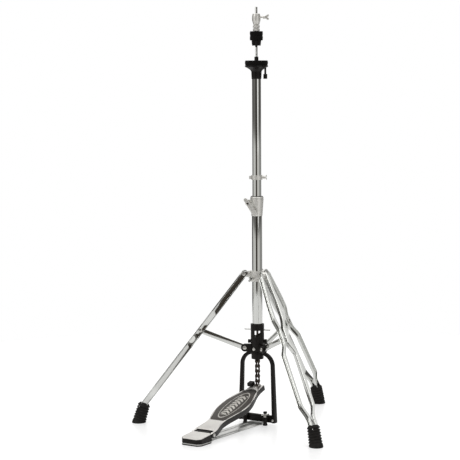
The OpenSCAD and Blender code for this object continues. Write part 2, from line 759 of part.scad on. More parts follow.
// the fork that pulls the rod: a tongue for the chain, a lower block, two straps past the pin, an upper block
module spring_link() {
    color("dimgray") difference() {
        union() {
            translate([-tongue_w, -4, chain_top_z - 4])
                cube([2 * tongue_w, 8, link_bottom_z - chain_top_z + 5]);
            translate([0, 0, link_bottom_z]) cylinder(r = strap_y + strap_t + 0.8, h = link_block_h);
            at_dir(pin_angle + pin_turn / 2) for (side = [-1, 1])
                translate([-strap_w / 2, side > 0 ? strap_y : -strap_y - strap_t, link_bottom_z + 1])
                    cube([strap_w, strap_t, link_top_z - link_bottom_z]);
            translate([0, 0, link_top_z]) cylinder(r = strap_y + strap_t + 0.4, h = link_block_h);
        }
        translate([0, 0, chain_top_z]) rod_x(chain_pin_d / 2 + running_gap, -10, 10);
        translate([0, 0, link_top_z + 1]) cylinder(r = rod_r, h = 20);
    }
}
module spring_retainer() {
    color("dimgray") ring(rod_r, lower_bore - 0.5, spring_z + spring_l, spring_z + spring_l + retainer_h);
}
module pull_rod() {
    color("silver") union() {
        translate([0, 0, link_top_z + 1]) cylinder(r = rod_r, h = rod_top_z - link_top_z - 2);
        translate([0, 0, rod_top_z - 1]) cylinder(r1 = rod_r, r2 = rod_r - 0.7, h = 1);
    }
}

// ---- column, sliding part
module upper_tube() { color("silver") ring(upper_r - upper_wall, upper_r, upper_bottom_z, upper_top_z); }
module seat_cup() {
    flare_z = cup_top_z - cup_flare;
    color("#1c1a19") difference() {
        rotate_extrude($fn = 72) polygon([[0, cup_z], [cup_d / 2 - 1, cup_z], [cup_d / 2, flare_z],
            [seat_d / 2, cup_top_z - cup_rim], [seat_d / 2, cup_top_z], [0, cup_top_z]]);
        translate([0, 0, cup_z - 1]) cylinder(r = upper_r, h = cup_socket + 1, $fn = 72);
        translate([0, 0, cup_z]) cylinder(r = sleeve_d / 2 + sleeve_step, h = 60);
        at_dir(screw_dir) translate([tilt_r, 0, cup_z]) cylinder(r = tilt_rod_r + running_gap, h = 60);
    }
}
module seat_sleeve() {
    color("#1c1a19") union() {
        ring(rod_r + free_gap, sleeve_d / 2 + sleeve_step, cup_z + cup_socket, seat_top_z);
        ring(rod_r + free_gap, sleeve_d / 2, seat_top_z, sleeve_top_z);
    }
}
module seat_hole(z, h) {
    translate([0, 0, z - 1]) cylinder(r = sleeve_d / 2 + sleeve_step + seat_play, h = h + 2);
}
module seat_disc() {
    color("#2a2a28") difference() {
        translate([0, 0, disc_z]) cylinder(d = seat_d - 1, h = disc_t, $fn = 72);
        seat_hole(disc_z, disc_t);
    }
}
module seat_felt() {
    color("#161616") difference() {
        translate([0, 0, seat_felt_z]) cylinder(d = seat_d, h = felt_t, $fn = 72);
        seat_hole(seat_felt_z, felt_t);
    }
}
module tilt_tip() {
    color("white") at_dir(screw_dir) translate([tilt_r, 0, tilt_tip_z])
        cylinder(r = tilt_tip_r, h = tilt_tip_h);
}
module tilt_knob() {
    color("#1c1a19") at_dir(screw_dir) translate([tilt_r, 0, 0]) {
        translate([0, 0, cup_z]) cylinder(d = tilt_knob_d, h = tilt_knob_h);
        translate([0, 0, cup_z + tilt_knob_h])
            cylinder(r = tilt_rod_r, h = tilt_tip_z - 0.1 - cup_z - tilt_knob_h);
    }
}
module memory_lock() {
    outer = upper_r + memory_wall;
    color("silver") difference() {
        union() {
            ring(upper_r + running_gap, outer, memory_z, memory_z + memory_h);
            at_dir(screw_dir) translate([0, 0, memory_z + memory_h / 2])
                rod_x(memory_boss_r, upper_r + 1, outer + 3);
            at_dir(screw_dir + 180) translate([upper_r + 1, -2, memory_z + 1])
                cube([memory_wall + 4, 4, memory_h - 3]);
        }
        cylinder(r = upper_r + running_gap, h = memory_z * 2, $fn = 72);
        at_dir(screw_dir) translate([0, 0, memory_z + memory_h / 2])
            rod_x(memory_screw_r + running_gap, 5, 40);
    }
}
// a wing screw along +X: shank from x0, wings at x1
module wing_screw(r, x0, x1, wing_h, wing_l) {
    rod_x(r, x0, x1 + 1);
    rod_x(r + wing_collar, x1 - wing_t, x1 + 2);
    translate([x1, -wing_t / 2, -wing_h / 2]) cube([wing_l, wing_t, wing_h]);
}
module memory_screw() {
    outer = upper_r + memory_wall;
    color("silver") at_dir(screw_dir) translate([0, 0, memory_z + memory_h / 2])
        wing_screw(memory_screw_r, upper_r + free_gap, outer + 7, memory_wing_h, memory_wing_l);
}

// ---- tripod
module leg_collar() {
    color("silver") difference() {
        union() {
            ring(collar_bore, collar_d / 2, collar_z, collar_z + collar_h);
            for (direction = [left_dir, right_dir, rear_dir]) at_dir(direction) {
                translate([leg_pivot_r, 0, leg_pivot_z]) rod_y(7, -collar_lug_w, collar_lug_w);
                translate([collar_bore + 2, -collar_lug_w, leg_pivot_z - 7])
                    cube([leg_pivot_r - collar_bore - 2, 2 * collar_lug_w, 14]);
            }
            at_dir(270) translate([0, 0, collar_z + 9]) rod_x(5.5, collar_bore + 2, collar_d / 2 + 4);
        }
        cylinder(r = collar_bore, h = 2 * collar_z, $fn = 72);
        for (direction = [left_dir, right_dir, rear_dir]) at_dir(direction)
            translate([leg_pivot_r, 0, leg_pivot_z]) rod_y(pivot_d / 2, -20, 20);
        at_dir(270) translate([0, 0, collar_z + 9]) rod_x(3 + running_gap, 5, 60);
    }
}
module collar_screw() {
    color("silver") at_dir(270) translate([0, 0, collar_z + 9])
        wing_screw(3, lower_r + free_gap, collar_d / 2 + 9, 16, 12);
}
module leg_pins() {
    color("silver") for (direction = [left_dir, right_dir, rear_dir]) at_dir(direction)
        translate([leg_pivot_r, 0, leg_pivot_z]) {
            rod_y(pivot_d / 2, -leg_pin_l, leg_pin_l);
            for (side = [-1, 1]) translate([0, side * (leg_pin_l + 1), 0]) rod_y(pivot_d / 2 + 1.5, -1, 1);
        }
}
// places a child whose X runs down the leg and whose Y runs across it
module along_leg(direction) {
    at_dir(direction) translate([leg_pivot_r, 0, leg_pivot_z]) rotate([0, 90 - leg_angle, 0]) children();
}
module strip_shape() {
    translate([0, 0, -strip_h / 2]) linear_extrude(strip_h) polygon(band(0, strip_t));
    for (z = [-strip_h / 2, strip_h / 2 - strip_t]) translate([0, 0, z])
        linear_extrude(strip_t) polygon(band(0, strip_depth));
}
module leg_strip(direction, side) {
    color("silver") along_leg(direction) difference() {
        if (side > 0) strip_shape(); else mirror([0, 1, 0]) strip_shape();
        rod_y(pivot_d / 2 + running_gap, -20, 20);
    }
}
module left_leg_strip_a() { leg_strip(left_dir, 1); }
module left_leg_strip_b() { leg_strip(left_dir, -1); }
module right_leg_strip_a() { leg_strip(right_dir, 1); }
module right_leg_strip_b() { leg_strip(right_dir, -1); }
module rear_leg_strip_a() { leg_strip(rear_dir, 1); }
module rear_leg_strip_b() { leg_strip(rear_dir, -1); }
// rivet heads in the channels at the brace joint
module leg_rivets(direction) {
    color("silver") along_leg(direction) {
        for (side = [-1, 1]) translate([brace_joint, 0, 0])
            rod_y(5, side > 0 ? gap_waist + strip_t : -gap_waist - strip_t - 2,
                side > 0 ? gap_waist + strip_t + 2 : -gap_waist - strip_t);
    }
}
module left_leg_rivets() { leg_rivets(left_dir); }
module right_leg_rivets() { leg_rivets(right_dir); }
module rear_leg_rivets() { leg_rivets(rear_dir); }
// the boot stands leaning on the floor: a ribbed cone cut level at the floor, hollow where the strips go in
module boot(direction) {
    rib = boot_l * 0.7 / boot_ribs;
    color("#1a1a1a") difference() {
        at_dir(direction) translate([boot_top_r, 0, boot_top_z]) rotate([0, 180 - boot_angle, 0]) union() {
            cylinder(d1 = boot_top_d, d2 = boot_bottom_d, h = boot_l + 12);
            for (i = [1:boot_ribs]) translate([0, 0, i * rib])
                cylinder(d = boot_top_d + (boot_bottom_d - boot_top_d) * i * rib / boot_l + 2.4, h = rib / 2);
        }
        translate([-600, -600, -100]) cube([1200, 1200, 100]);
        along_leg(direction) translate([strip_l - 60, -gap_boot - strip_depth, -strip_h / 2])
            cube([60.01, 2 * (gap_boot + strip_depth), strip_h]);
    }
}
module left_boot() { boot(left_dir); }
module right_boot() { boot(right_dir); }
module rear_boot() { boot(rear_dir); }
module brace(direction) {
    color("silver") at_dir(direction) translate([brace_r, 0, brace_z]) rotate([0, -brace_angle, 0])
        difference() {
        union() {
            translate([0, -brace_t / 2, -brace_h / 2]) cube([brace_l, brace_t, brace_h]);
            rod_y(brace_h / 2, -brace_t / 2, brace_t / 2);
            translate([brace_l, 0, 0]) rod_y(brace_h / 2, -brace_t / 2, brace_t / 2);
        }
        rod_y(pivot_d / 2 + running_gap, -20, 20);
    }
}
module left_brace() { brace(left_dir); }
module right_brace() { brace(right_dir); }
module rear_brace() { brace(rear_dir); }

// ---- pedal; a child's Y runs up the board from the hinge
module on_board() { translate([0, -hinge_y, hinge_z]) rotate([board_angle, 0, 0]) children(); }
module footboard() {
    color("silver") on_board() difference() {
        union() {
            translate([0, 0, board_top - skirt_h])
                linear_extrude(skirt_h) polygon(board_outline(0, board_start, toe_s + 6));
            for (side = [-1, 1]) translate([side > 0 ? lug_in : -lug_out, 0, 0]) {
                rod_x(boss_r, 0, lug_out - lug_in);
                translate([0, 0, -boss_r]) cube([lug_out - lug_in, board_start + 1, boss_r + board_top]);
            }
        }
        translate([0, 0, board_top - skirt_h - 1]) linear_extrude(skirt_h + 1 - board_wall)
            polygon(board_outline(board_wall, board_start - 1, toe_s + 10));
        translate([0, 0, board_top - inset_t]) linear_extrude(10) polygon(oval(0.2));
        translate([-4.5 - plate_mid, toe_s - notch_l, -40]) cube([9 + 2 * plate_mid, 60, 80]);
        rod_x(hinge_d / 2 + running_gap, -50, 50);
    }
}
module footboard_inset() {
    color("#3a3836") on_board() translate([0, 0, board_top - inset_t])
        linear_extrude(inset_t - 0.2) polygon(oval(0));
}
// black clamp on the toe's left arm, with the arm of the chain anchor's seat
module toe_block() {
    color("#161616") on_board() difference() {
        translate([-toe_w - 6, toe_s - 12, board_top]) cube([toe_w + 6 - 6 - plate_mid + 2, 16, 9]);
        translate([-plate_mid - 4, toe_s - 20, -1]) cube([40, 60, 60]);
    }
}
// fork under the toe that holds the chain's last pin
module chain_anchor() {
    fork_in = plate_mid + anchor_clear + 0.4;
    fork_t = 2.4;
    color("silver") translate([0, 0, anchor_z]) {
        rod_x(chain_eye_r, -fork_in - fork_t / 2, fork_in + fork_t / 2);
        for (side = [-1, 1]) translate([side > 0 ? fork_in : -fork_in - fork_t, 0, 0]) rotate([90, 0, 90])
            linear_extrude(fork_t) {
                circle(5);
                rotate(board_angle) translate([-fork_l, -4]) square([fork_l, 7]);
            }
        rotate([board_angle, 0, 0]) translate([-fork_in - fork_t / 2, -fork_l + 0.6, -3.4])
            cube([2 * fork_in + fork_t, 3, 5.6]);
    }
}

// ---- chain
module link_plate(x) {
    translate([x, 0, 0]) union() {
        rod_x(link_h / 2, 0, link_t);
        translate([0, 0, -pitch]) rod_x(link_h / 2, 0, link_t);
        translate([0, -link_h * 0.32, -pitch]) cube([link_t, link_h * 0.64, pitch]);
    }
}
module chain() {
    color("#4a4038") difference() {
        union() for (i = [0:links - 1]) translate([0, 0, chain_top_z - pitch * i]) {
            x = i % 2 == 0 ? plate_mid : plate_in;
            link_plate(x);
            link_plate(-x - link_t);
            chain_pin();
            if (i > 0) rod_x(roller_d / 2, -roller_w / 2, roller_w / 2);
            if (i == links - 1) translate([0, 0, -pitch]) rod_x(roller_d / 2, -roller_w / 2, roller_w / 2);
        }
        translate([0, 0, anchor_z]) rod_x(chain_eye_r + anchor_clear, -20, 20);
    }
}
module chain_pin() { rod_x(chain_pin_d / 2, -plate_mid - link_t - 0.8, plate_mid + link_t + 0.8); }

// ---- clutch
module clutch_sleeve() {
    color("silver") ring(rod_r + running_gap, clutch_sleeve_d / 2, clutch_z + 3, clutch_body_z + 2);
}
module clutch_body() {
    color("silver") difference() {
        rotate_extrude($fn = 72) polygon(concat([[0, clutch_body_z], [clutch_d / 2 - 2.5, clutch_body_z]],
            arc(clutch_d / 2 - 12, clutch_body_z + 13, 12, -50, 0, 6),
            arc(clutch_d / 2 - 18, clutch_body_z + 13, 18, 8, 60, 8), [[0, clutch_body_z + clutch_body_h]]));
        cylinder(r = rod_r + running_gap, h = 2 * rod_top_z);
        cylinder(d = clutch_sleeve_d, h = clutch_body_z + 2);
        at_dir(screw_dir) translate([0, 0, clutch_body_z + clutch_body_h * 0.64])
            rod_x(2.5 + running_gap, 0, 40);
    }
}
module clutch_nuts() {
    color("silver") {
        difference() {
            translate([0, 0, clutch_z])
                cylinder(d1 = clutch_nut_d - 3, d2 = clutch_nut_d, h = clutch_nut_h, $fn = 72);
            cylinder(r = rod_r + running_gap, h = 2 * rod_top_z);
            translate([0, 0, clutch_z + 3]) cylinder(d = clutch_sleeve_d, h = 40);
        }
        for (i = [0:1]) difference() {
            translate([0, 0, clutch_felt_top + clutch_nut_gap * (i + 0.2) + top_nut_h * i])
                cylinder(d = 17, h = top_nut_h - 0.4);
            cylinder(d = clutch_sleeve_d, h = 2 * rod_top_z);
        }
    }
}
module clutch_felts() {
    color("#161616") for (i = [0:1])
        ring(clutch_sleeve_d / 2, clutch_felt_d / 2, clutch_felt_z + i * (clutch_felt_t + clutch_felt_gap),
            clutch_felt_z + i * (clutch_felt_t + clutch_felt_gap) + clutch_felt_t);
}
module clutch_screw() {
    color("silver") at_dir(screw_dir) translate([0, 0, clutch_body_z + clutch_body_h * 0.64])
        wing_screw(2.5, rod_r + free_gap, 20, 14, 12);
}

lower_tube();
height_clamp();
clamp_bush();
clamp_bolt();
hub_casting();
frame_bolts();
brace_pins();
yoke();
crossbar();
base_plate();
rubber_pads();
heel_block();
heel_plate();
hinge_pin();
return_spring();
spring_seat();
tension_pin();
upper_tube();
seat_cup();
seat_sleeve();
seat_disc();
seat_felt();
tilt_tip();
tilt_knob();
memory_lock();
memory_screw();
clamp_lever();
leg_collar();
leg_pins();
collar_screw();
left_leg_strip_a();
left_leg_strip_b();
left_leg_rivets();
left_boot();
right_leg_strip_a();
right_leg_strip_b();
right_leg_rivets();
right_boot();
rear_leg_strip_a();
rear_leg_strip_b();
rear_leg_rivets();
rear_boot();
left_brace();
right_brace();
rear_brace();
left_spur();
right_spur();
footboard();
footboard_inset();
toe_block();
chain_anchor();
pull_rod();
spring_link();
spring_retainer();
chain();
clutch_body();
clutch_sleeve();
clutch_nuts();
clutch_felts();
clutch_screw();
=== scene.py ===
"""Looks of a folding hi-hat stand: chrome column and tripod, black castings, board with chain, felts, clutch.

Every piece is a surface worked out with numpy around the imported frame, in metres. Laid out as an add-on and
run as a script.
"""

import json
import math

import bmesh
import bpy
import numpy as np
from bpy.props import FloatProperty, FloatVectorProperty, IntProperty, PointerProperty
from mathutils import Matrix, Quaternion, Vector


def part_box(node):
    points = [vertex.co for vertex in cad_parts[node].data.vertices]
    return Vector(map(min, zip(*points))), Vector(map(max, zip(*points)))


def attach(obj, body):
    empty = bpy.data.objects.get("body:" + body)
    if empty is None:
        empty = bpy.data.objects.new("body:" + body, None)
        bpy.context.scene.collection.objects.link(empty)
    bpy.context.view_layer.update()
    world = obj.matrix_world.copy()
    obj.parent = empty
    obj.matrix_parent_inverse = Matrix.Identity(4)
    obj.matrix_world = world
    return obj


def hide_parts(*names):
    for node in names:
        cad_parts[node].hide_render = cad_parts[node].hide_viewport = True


bl_info = {
    "name": "Hi-hat stand",
    "version": (1, 0, 0),
    "blender": (4, 5, 0),
    "location": "3D View > Sidebar > Hi-hat",
    "description": "Builds the pieces and finishes of a folding hi-hat stand around its frame",
    "category": "Object",
}

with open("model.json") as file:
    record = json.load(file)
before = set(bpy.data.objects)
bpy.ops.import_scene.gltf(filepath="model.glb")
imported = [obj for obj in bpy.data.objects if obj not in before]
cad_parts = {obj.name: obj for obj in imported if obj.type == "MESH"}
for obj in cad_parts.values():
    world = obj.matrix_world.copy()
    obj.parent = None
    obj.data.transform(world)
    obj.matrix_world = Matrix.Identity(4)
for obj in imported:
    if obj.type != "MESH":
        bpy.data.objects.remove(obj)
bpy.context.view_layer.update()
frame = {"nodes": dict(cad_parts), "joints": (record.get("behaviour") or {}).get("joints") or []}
JOINTS = {joint["name"]: joint for joint in frame["joints"]}
MM = 0.001
LEGS = {"left": 210.0, "right": 330.0, "rear": 90.0}
SCREW_DIR = 30.0
CLAMP_DIR = 210.0


# ---------------------------------------------------------------- places taken from the frame
def low(node):
    """Lowest corner of a node's box, in millimetres."""
    return np.array(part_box(node)[0]) / MM


def high(node):
    """Highest corner of a node's box, in millimetres."""
    return np.array(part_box(node)[1]) / MM


def pivot(joint):
    """A hinge's point, in millimetres."""
    return np.array(JOINTS[joint]["pos_m"]) / MM


def bearing(angle):
    """Unit vectors outward and sideways for a bearing in degrees, seen from above."""
    turn = math.radians(angle)
    return np.array([math.cos(turn), math.sin(turn), 0.0]), np.array([-math.sin(turn), math.cos(turn), 0.0])


UP = np.array([0.0, 0.0, 1.0])
ORIGIN = np.zeros(3)
XYZ = (np.array([1.0, 0.0, 0.0]), np.array([0.0, 1.0, 0.0]), UP)


# ---------------------------------------------------------------- surfaces
def grid_faces(rows, columns, close_rows=False, close_columns=False):
    """Quads of a rows x columns grid of points, numbered row by row; either direction may close on itself."""
    down = np.arange(rows if close_rows else rows - 1)
    along = np.arange(columns if close_columns else columns - 1)
    i, j = [a.ravel() for a in np.meshgrid(down, along, indexing="ij")]
    i2, j2 = (i + 1) % rows, (j + 1) % columns
    return np.stack([i * columns + j, i * columns + j2, i2 * columns + j2, i2 * columns + j], 1)


def end_caps(rows, columns):
    """The two faces that close a tube of rows rings at its first and last ring."""
    ring = np.arange(columns)
    return [ring[::-1], ring + (rows - 1) * columns]


def arc(cx, cy, r, start, end, steps=8):
    """Points of a circular arc: centre plus r times cosine and sine, from start to end degrees."""
    t = np.radians(np.linspace(start, end, steps + 1))
    return np.stack([cx + r * np.cos(t), cy + r * np.sin(t)], 1)


def rounded(points, radius, closed=False, steps=4):
    """A polyline with each corner replaced by a quadratic curve that starts and ends radius away from it."""
    p = np.asarray(points, float)
    radii = np.broadcast_to(np.asarray(radius, float), (len(p),))
    out = []
    for i, corner in enumerate(p):
        if not closed and i in (0, len(p) - 1) or radii[i] <= 0:
            out.append(corner[None])
            continue
        before, after = p[i - 1] - corner, p[(i + 1) % len(p)] - corner
        reach = min(radii[i], 0.45 * np.linalg.norm(before), 0.45 * np.linalg.norm(after))
        a = corner + before / np.linalg.norm(before) * reach
        b = corner + after / np.linalg.norm(after) * reach
        t = np.linspace(0, 1, steps + 1)[:, None]
        out.append((1 - t) ** 2 * a + 2 * t * (1 - t) * corner + t**2 * b)
    return np.concatenate(out)


def turned(profile, origin=ORIGIN, axes=XYZ, segments=96, ripple=None):
    """A profile of (radius, height) turned round an axis: the point is radius * (cos, sin) plus height.

    ripple(angle, radius, height) returns a change of radius. The profile runs anticlockwise in the
    radius-height plane, so that the faces point outwards, and a start or end on the axis closes the shape."""
    profile = np.asarray(profile, float)
    radius, height = profile[:, 0][:, None], profile[:, 1][:, None]
    angle = np.linspace(0, 2 * np.pi, segments, endpoint=False)[None]
    r = np.repeat(radius, segments, 1)
    if ripple is not None:
        r = r + ripple(angle, r, height + 0 * r)
    x, y, z = axes
    points = (origin + (r * np.cos(angle))[..., None] * x + (r * np.sin(angle))[..., None] * y
              + (height + 0 * r)[..., None] * z)
    closed = np.allclose(profile[0], profile[-1])
    if closed:
        points = points[:-1]
    return points.reshape(-1, 3), grid_faces(len(points), segments, closed, True), []


def looped(profile):
    """A profile with its first point again at the end, which makes a turned shape a closed ring."""
    return np.concatenate([profile, profile[:1]])


def ring_profile(inner, outer, low_z, high_z, radius=0.4, steps=3):
    """The closed section of a ring, with eased corners, running outwards along the bottom first."""
    corners = [(inner, low_z), (outer, low_z), (outer, high_z), (inner, high_z)]
    return looped(rounded(corners, radius, True, steps))


def offset_outline(outline, distance):
    """A closed outline moved inwards: each point goes along the mean of its two edges' normals."""
    p = np.asarray(outline, float)
    edge = np.roll(p, -1, 0) - p
    normal = np.stack([edge[:, 1], -edge[:, 0]], 1) / np.maximum(np.linalg.norm(edge, axis=1), 1e-9)[:, None]
    mean = normal + np.roll(normal, 1, 0)
    mean /= np.maximum(np.linalg.norm(mean, axis=1), 1e-9)[:, None]
    cosine = np.maximum((mean * normal).sum(1), 0.5)[:, None]
    return p - mean / cosine * distance


def slab(outline, low_z, high_z, origin=ORIGIN, axes=XYZ, bevel=0.5, steps=3, crown=None):
    """A plate: an anticlockwise outline carried from low_z to high_z, its edges rounded by quarter circles.

    crown(x, y) lifts every point of the plate by a height of its own."""
    outline = np.asarray(outline, float)
    turn = np.radians(np.linspace(0, 90, steps + 1))
    drop, inset = bevel * (1 - np.cos(turn)), bevel * (1 - np.sin(turn))
    rows = list(zip(inset, low_z + drop)) + list(zip(inset[::-1], high_z - drop[::-1]))
    x, y, z = axes
    rings = [offset_outline(outline, inward) for inward, level in rows]
    points = np.array([origin + ring[:, :1] * x + ring[:, 1:] * y + level * z
                       for ring, (inward, level) in zip(rings, rows)])
    if crown is not None:
        points += crown(rings[0][:, 0], rings[0][:, 1])[None, :, None] * z
    n = len(outline)
    return points.reshape(-1, 3), grid_faces(len(rows), n, False, True), end_caps(len(rows), n)


def swept(path, sections, sides, ups):
    """Sections of (across, up) points carried along a path; sides and ups are the unit vectors at each point."""
    path = np.asarray(path, float)
    sections = np.asarray(sections, float)
    if sections.ndim == 2:
        sections = np.repeat(sections[None], len(path), 0)
    sides = np.broadcast_to(sides, path.shape)
    ups = np.broadcast_to(ups, path.shape)
    points = path[:, None] + sections[..., :1] * sides[:, None] + sections[..., 1:] * ups[:, None]
    n = sections.shape[1]
    return points.reshape(-1, 3), grid_faces(len(path), n, False, True), end_caps(len(path), n)


def rod(radius, start, end, axis, side, origin=ORIGIN, chamfer=0.4, segments=48):
    """A round bar along an axis from start to end, with small chamfers: a turned profile."""
    other = np.cross(axis, side)
    profile = [(0, start), (radius - chamfer, start), (radius, start + chamfer), (radius, end - chamfer),
               (radius - chamfer, end), (0, end)]
    return turned(profile, origin, (side, other, axis), segments)


def rounded_rect(width, height, radius, steps=4):
    """A rectangle centred on zero with rounded corners, anticlockwise."""
    w, h = width / 2, height / 2
    return rounded([(-w, -h), (w, -h), (w, h), (-w, h)], radius, True, steps)


def superellipse(width, height, power=3.0, count=48):
    """The curve |x / a| ** n + |y / b| ** n = 1, anticlockwise."""
    t = np.linspace(0, 2 * np.pi, count, endpoint=False)
    c, s = np.cos(t), np.sin(t)
    return np.stack([width / 2 * np.sign(c) * np.abs(c) ** (2 / power),
                     height / 2 * np.sign(s) * np.abs(s) ** (2 / power)], 1)


def ease(t):
    """A smooth step: 3 t^2 - 2 t^3 between 0 and 1."""
    t = np.clip(t, 0, 1)
    return t * t * (3 - 2 * t)


def piece(name, surfaces, body, look, nodes=(), sharp=35.0):
    """One object made of several closed surfaces, in metres, smooth except across edges sharper than sharp.

    look names its finish."""
    points, faces, base = [], [], 0
    for some_points, quads, caps in surfaces:
        points.append(np.asarray(some_points, float))
        faces += (quads + base).tolist() + [(cap + base).tolist() for cap in caps]
        base += len(some_points)
    mesh = bpy.data.meshes.new(name)
    mesh.from_pydata((np.concatenate(points) * MM).tolist(), [], faces)
    mesh.validate()
    mesh.shade_smooth()
    mesh.set_sharp_from_angle(angle=math.radians(sharp))
    mesh.update()
    obj = bpy.data.objects.new(name, mesh)
    bpy.context.scene.collection.objects.link(obj)
    mesh.materials.append(finish(look))
    close_poles(obj)
    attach(obj, body)
    if nodes:
        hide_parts(*nodes)
    return obj


def close_poles(obj):
    """Merges the points that a turned shape has on its axis, and drops the faces that lose their area."""
    work = bmesh.new()
    work.from_mesh(obj.data)
    bmesh.ops.remove_doubles(work, verts=work.verts, dist=2e-7)
    bmesh.ops.dissolve_degenerate(work, edges=work.edges, dist=1e-8)
    bmesh.ops.recalc_face_normals(work, faces=work.faces)
    work.to_mesh(obj.data)
    work.free()


def softened(node, name, body, look, width=0.5):
    """A copy of a CAD node with its flat faces merged and its edges rounded by a Bevel modifier."""
    mesh = frame["nodes"][node].data.copy()
    mesh.name = name
    work = bmesh.new()
    work.from_mesh(mesh)
    bmesh.ops.remove_doubles(work, verts=work.verts, dist=1e-6)
    bmesh.ops.dissolve_limit(work, angle_limit=math.radians(1.0), verts=work.verts, edges=work.edges)
    bmesh.ops.recalc_face_normals(work, faces=work.faces)
    for face in work.faces:
        face.smooth = True
    work.to_mesh(mesh)
    work.free()
    mesh.set_sharp_from_angle(angle=math.radians(30))
    mesh.materials.clear()
    mesh.materials.append(finish(look))
    obj = bpy.data.objects.new(name, mesh)
    bpy.context.scene.collection.objects.link(obj)
    bevel = obj.modifiers.new("edges", "BEVEL")
    bevel.width = width * MM
    bevel.segments = 3
    bevel.limit_method = "ANGLE"
    bevel.angle_limit = math.radians(32)
    bevel.harden_normals = True
    bevel.use_clamp_overlap = True
    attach(obj, body)
    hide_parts(node)
    return obj


# ---------------------------------------------------------------- shader maths
class Value:
    """A node socket with arithmetic: an expression on sockets and numbers adds Math nodes."""

    def __init__(self, tree, socket):
        self.tree, self.socket = tree, socket

    def math(self, operation, a, b=None, c=None):
        node = self.tree.nodes.new("ShaderNodeMath")
        node.operation = operation
        for slot, value in zip(node.inputs, (a, b, c)):
            if isinstance(value, Value):
                self.tree.links.new(value.socket, slot)
            elif value is not None:
                slot.default_value = value
        return Value(self.tree, node.outputs[0])

    def __add__(self, other):
        return self.math("ADD", self, other)

    def __radd__(self, other):
        return self.math("ADD", other, self)

    def __sub__(self, other):
        return self.math("SUBTRACT", self, other)

    def __rsub__(self, other):
        return self.math("SUBTRACT", other, self)

    def __mul__(self, other):
        return self.math("MULTIPLY", self, other)

    def __rmul__(self, other):
        return self.math("MULTIPLY", other, self)

    def __truediv__(self, other):
        return self.math("DIVIDE", self, other)

    def __pow__(self, other):
        return self.math("POWER", self, other)

    def size(self):
        return self.math("ABSOLUTE", self)

    def part(self):
        return self.math("FRACT", self)

    def least(self, other):
        return self.math("MINIMUM", self, other)

    def most(self, other):
        return self.math("MAXIMUM", self, other)

    def step(self, start, end):
        """0 below start and 1 above end, smooth between."""
        node = self.tree.nodes.new("ShaderNodeMapRange")
        node.interpolation_type = "SMOOTHSTEP"
        self.tree.links.new(self.socket, node.inputs[0])
        node.inputs[1].default_value, node.inputs[2].default_value = start, end
        return Value(self.tree, node.outputs[0])


class Finish:
    """One material: a Principled shader, object coordinates in millimetres, and helpers that add nodes."""

    def __init__(self, name, **constants):
        self.material = bpy.data.materials.new(name)
        self.material.use_nodes = True
        self.tree = self.material.node_tree
        self.shader = self.tree.nodes["Principled BSDF"]
        for label, value in constants.items():
            self.shader.inputs[label.replace("_", " ").title().replace("Ior", "IOR")].default_value = value
        coordinates = self.node("ShaderNodeTexCoord", {})
        self.place = self.node("ShaderNodeVectorMath", {"operation": "SCALE"},
                               {0: coordinates.outputs["Object"], "Scale": 1000.0}).outputs[0]
        split = self.node("ShaderNodeSeparateXYZ", {}, {0: self.place})
        self.x, self.y, self.z = [Value(self.tree, s) for s in split.outputs]

    def node(self, kind, settings, inputs=()):
        node = self.tree.nodes.new(kind)
        for label, value in settings.items():
            setattr(node, label, value)
        for label, value in dict(inputs).items():
            if isinstance(value, Value):
                value = value.socket
            if isinstance(value, bpy.types.NodeSocket):
                self.tree.links.new(value, node.inputs[label])
            else:
                node.inputs[label].default_value = value
        return node

    def noise(self, scale, detail=4.0, roughness=0.55, stretch=(1, 1, 1)):
        """Noise with so many features per millimetre, from 0 to 1."""
        place = self.node("ShaderNodeVectorMath", {"operation": "MULTIPLY"},
                          {0: self.place, 1: stretch}).outputs[0]
        node = self.node("ShaderNodeTexNoise", {},
                         {"Vector": place, "Scale": scale, "Detail": detail, "Roughness": roughness})
        return Value(self.tree, node.outputs["Fac"])

    def cells(self, scale):
        """Distance to the nearest of so many scattered points per millimetre."""
        node = self.node("ShaderNodeTexVoronoi", {}, {"Vector": self.place, "Scale": scale})
        return Value(self.tree, node.outputs["Distance"])

    def mix(self, factor, a, b):
        """A colour between a and b."""
        node = self.node("ShaderNodeMix", {"data_type": "RGBA"}, {0: factor})
        for slot, value in ((6, a), (7, b)):
            if isinstance(value, bpy.types.NodeSocket):
                self.tree.links.new(value, node.inputs[slot])
            else:
                node.inputs[slot].default_value = (*value, 1.0)
        return node.outputs[2]

    def feed(self, label, value):
        self.tree.links.new(value.socket if isinstance(value, Value) else value, self.shader.inputs[label])

    def bump(self, height, depth, strength=1.0):
        """Bump from a height of 0 to 1 that stands for depth millimetres."""
        node = self.node("ShaderNodeBump", {}, {"Height": height, "Distance": depth * MM, "Strength": strength})
        self.tree.links.new(node.outputs[0], self.shader.inputs["Normal"])


# ---------------------------------------------------------------- finishes
FINISHES = {}


def finish(name):
    """The finish of that name, made once."""
    if name not in FINISHES:
        FINISHES[name] = MAKERS[name](bpy.context.scene.hihat_finishes)
    return FINISHES[name]


def polished(name, colour, roughness, wear):
    """Plated metal: haze of small roughness changes, faint scratches and a slight tint in patches."""
    f = Finish(name, metallic=1.0)
    haze = f.noise(0.035, 5)
    smudge = f.noise(0.22, 3, stretch=(1, 1, 0.35))
    scratch = f.noise(1.4, 2, 0.7, (0.35, 0.35, 6.0)).step(0.62, 0.86)
    marks = 0.5 * smudge.step(0.45, 0.8) + 0.6 * haze.step(0.4, 0.75) + 0.5 * scratch
    f.feed("Roughness", roughness + wear * marks)
    dark = tuple(c * 0.9 for c in colour)
    f.feed("Base Color", f.mix(haze * 0.5 + smudge * 0.25, colour, dark))
    f.bump(f.noise(2.2, 3, 0.6), 0.004, 0.5)
    return f.material


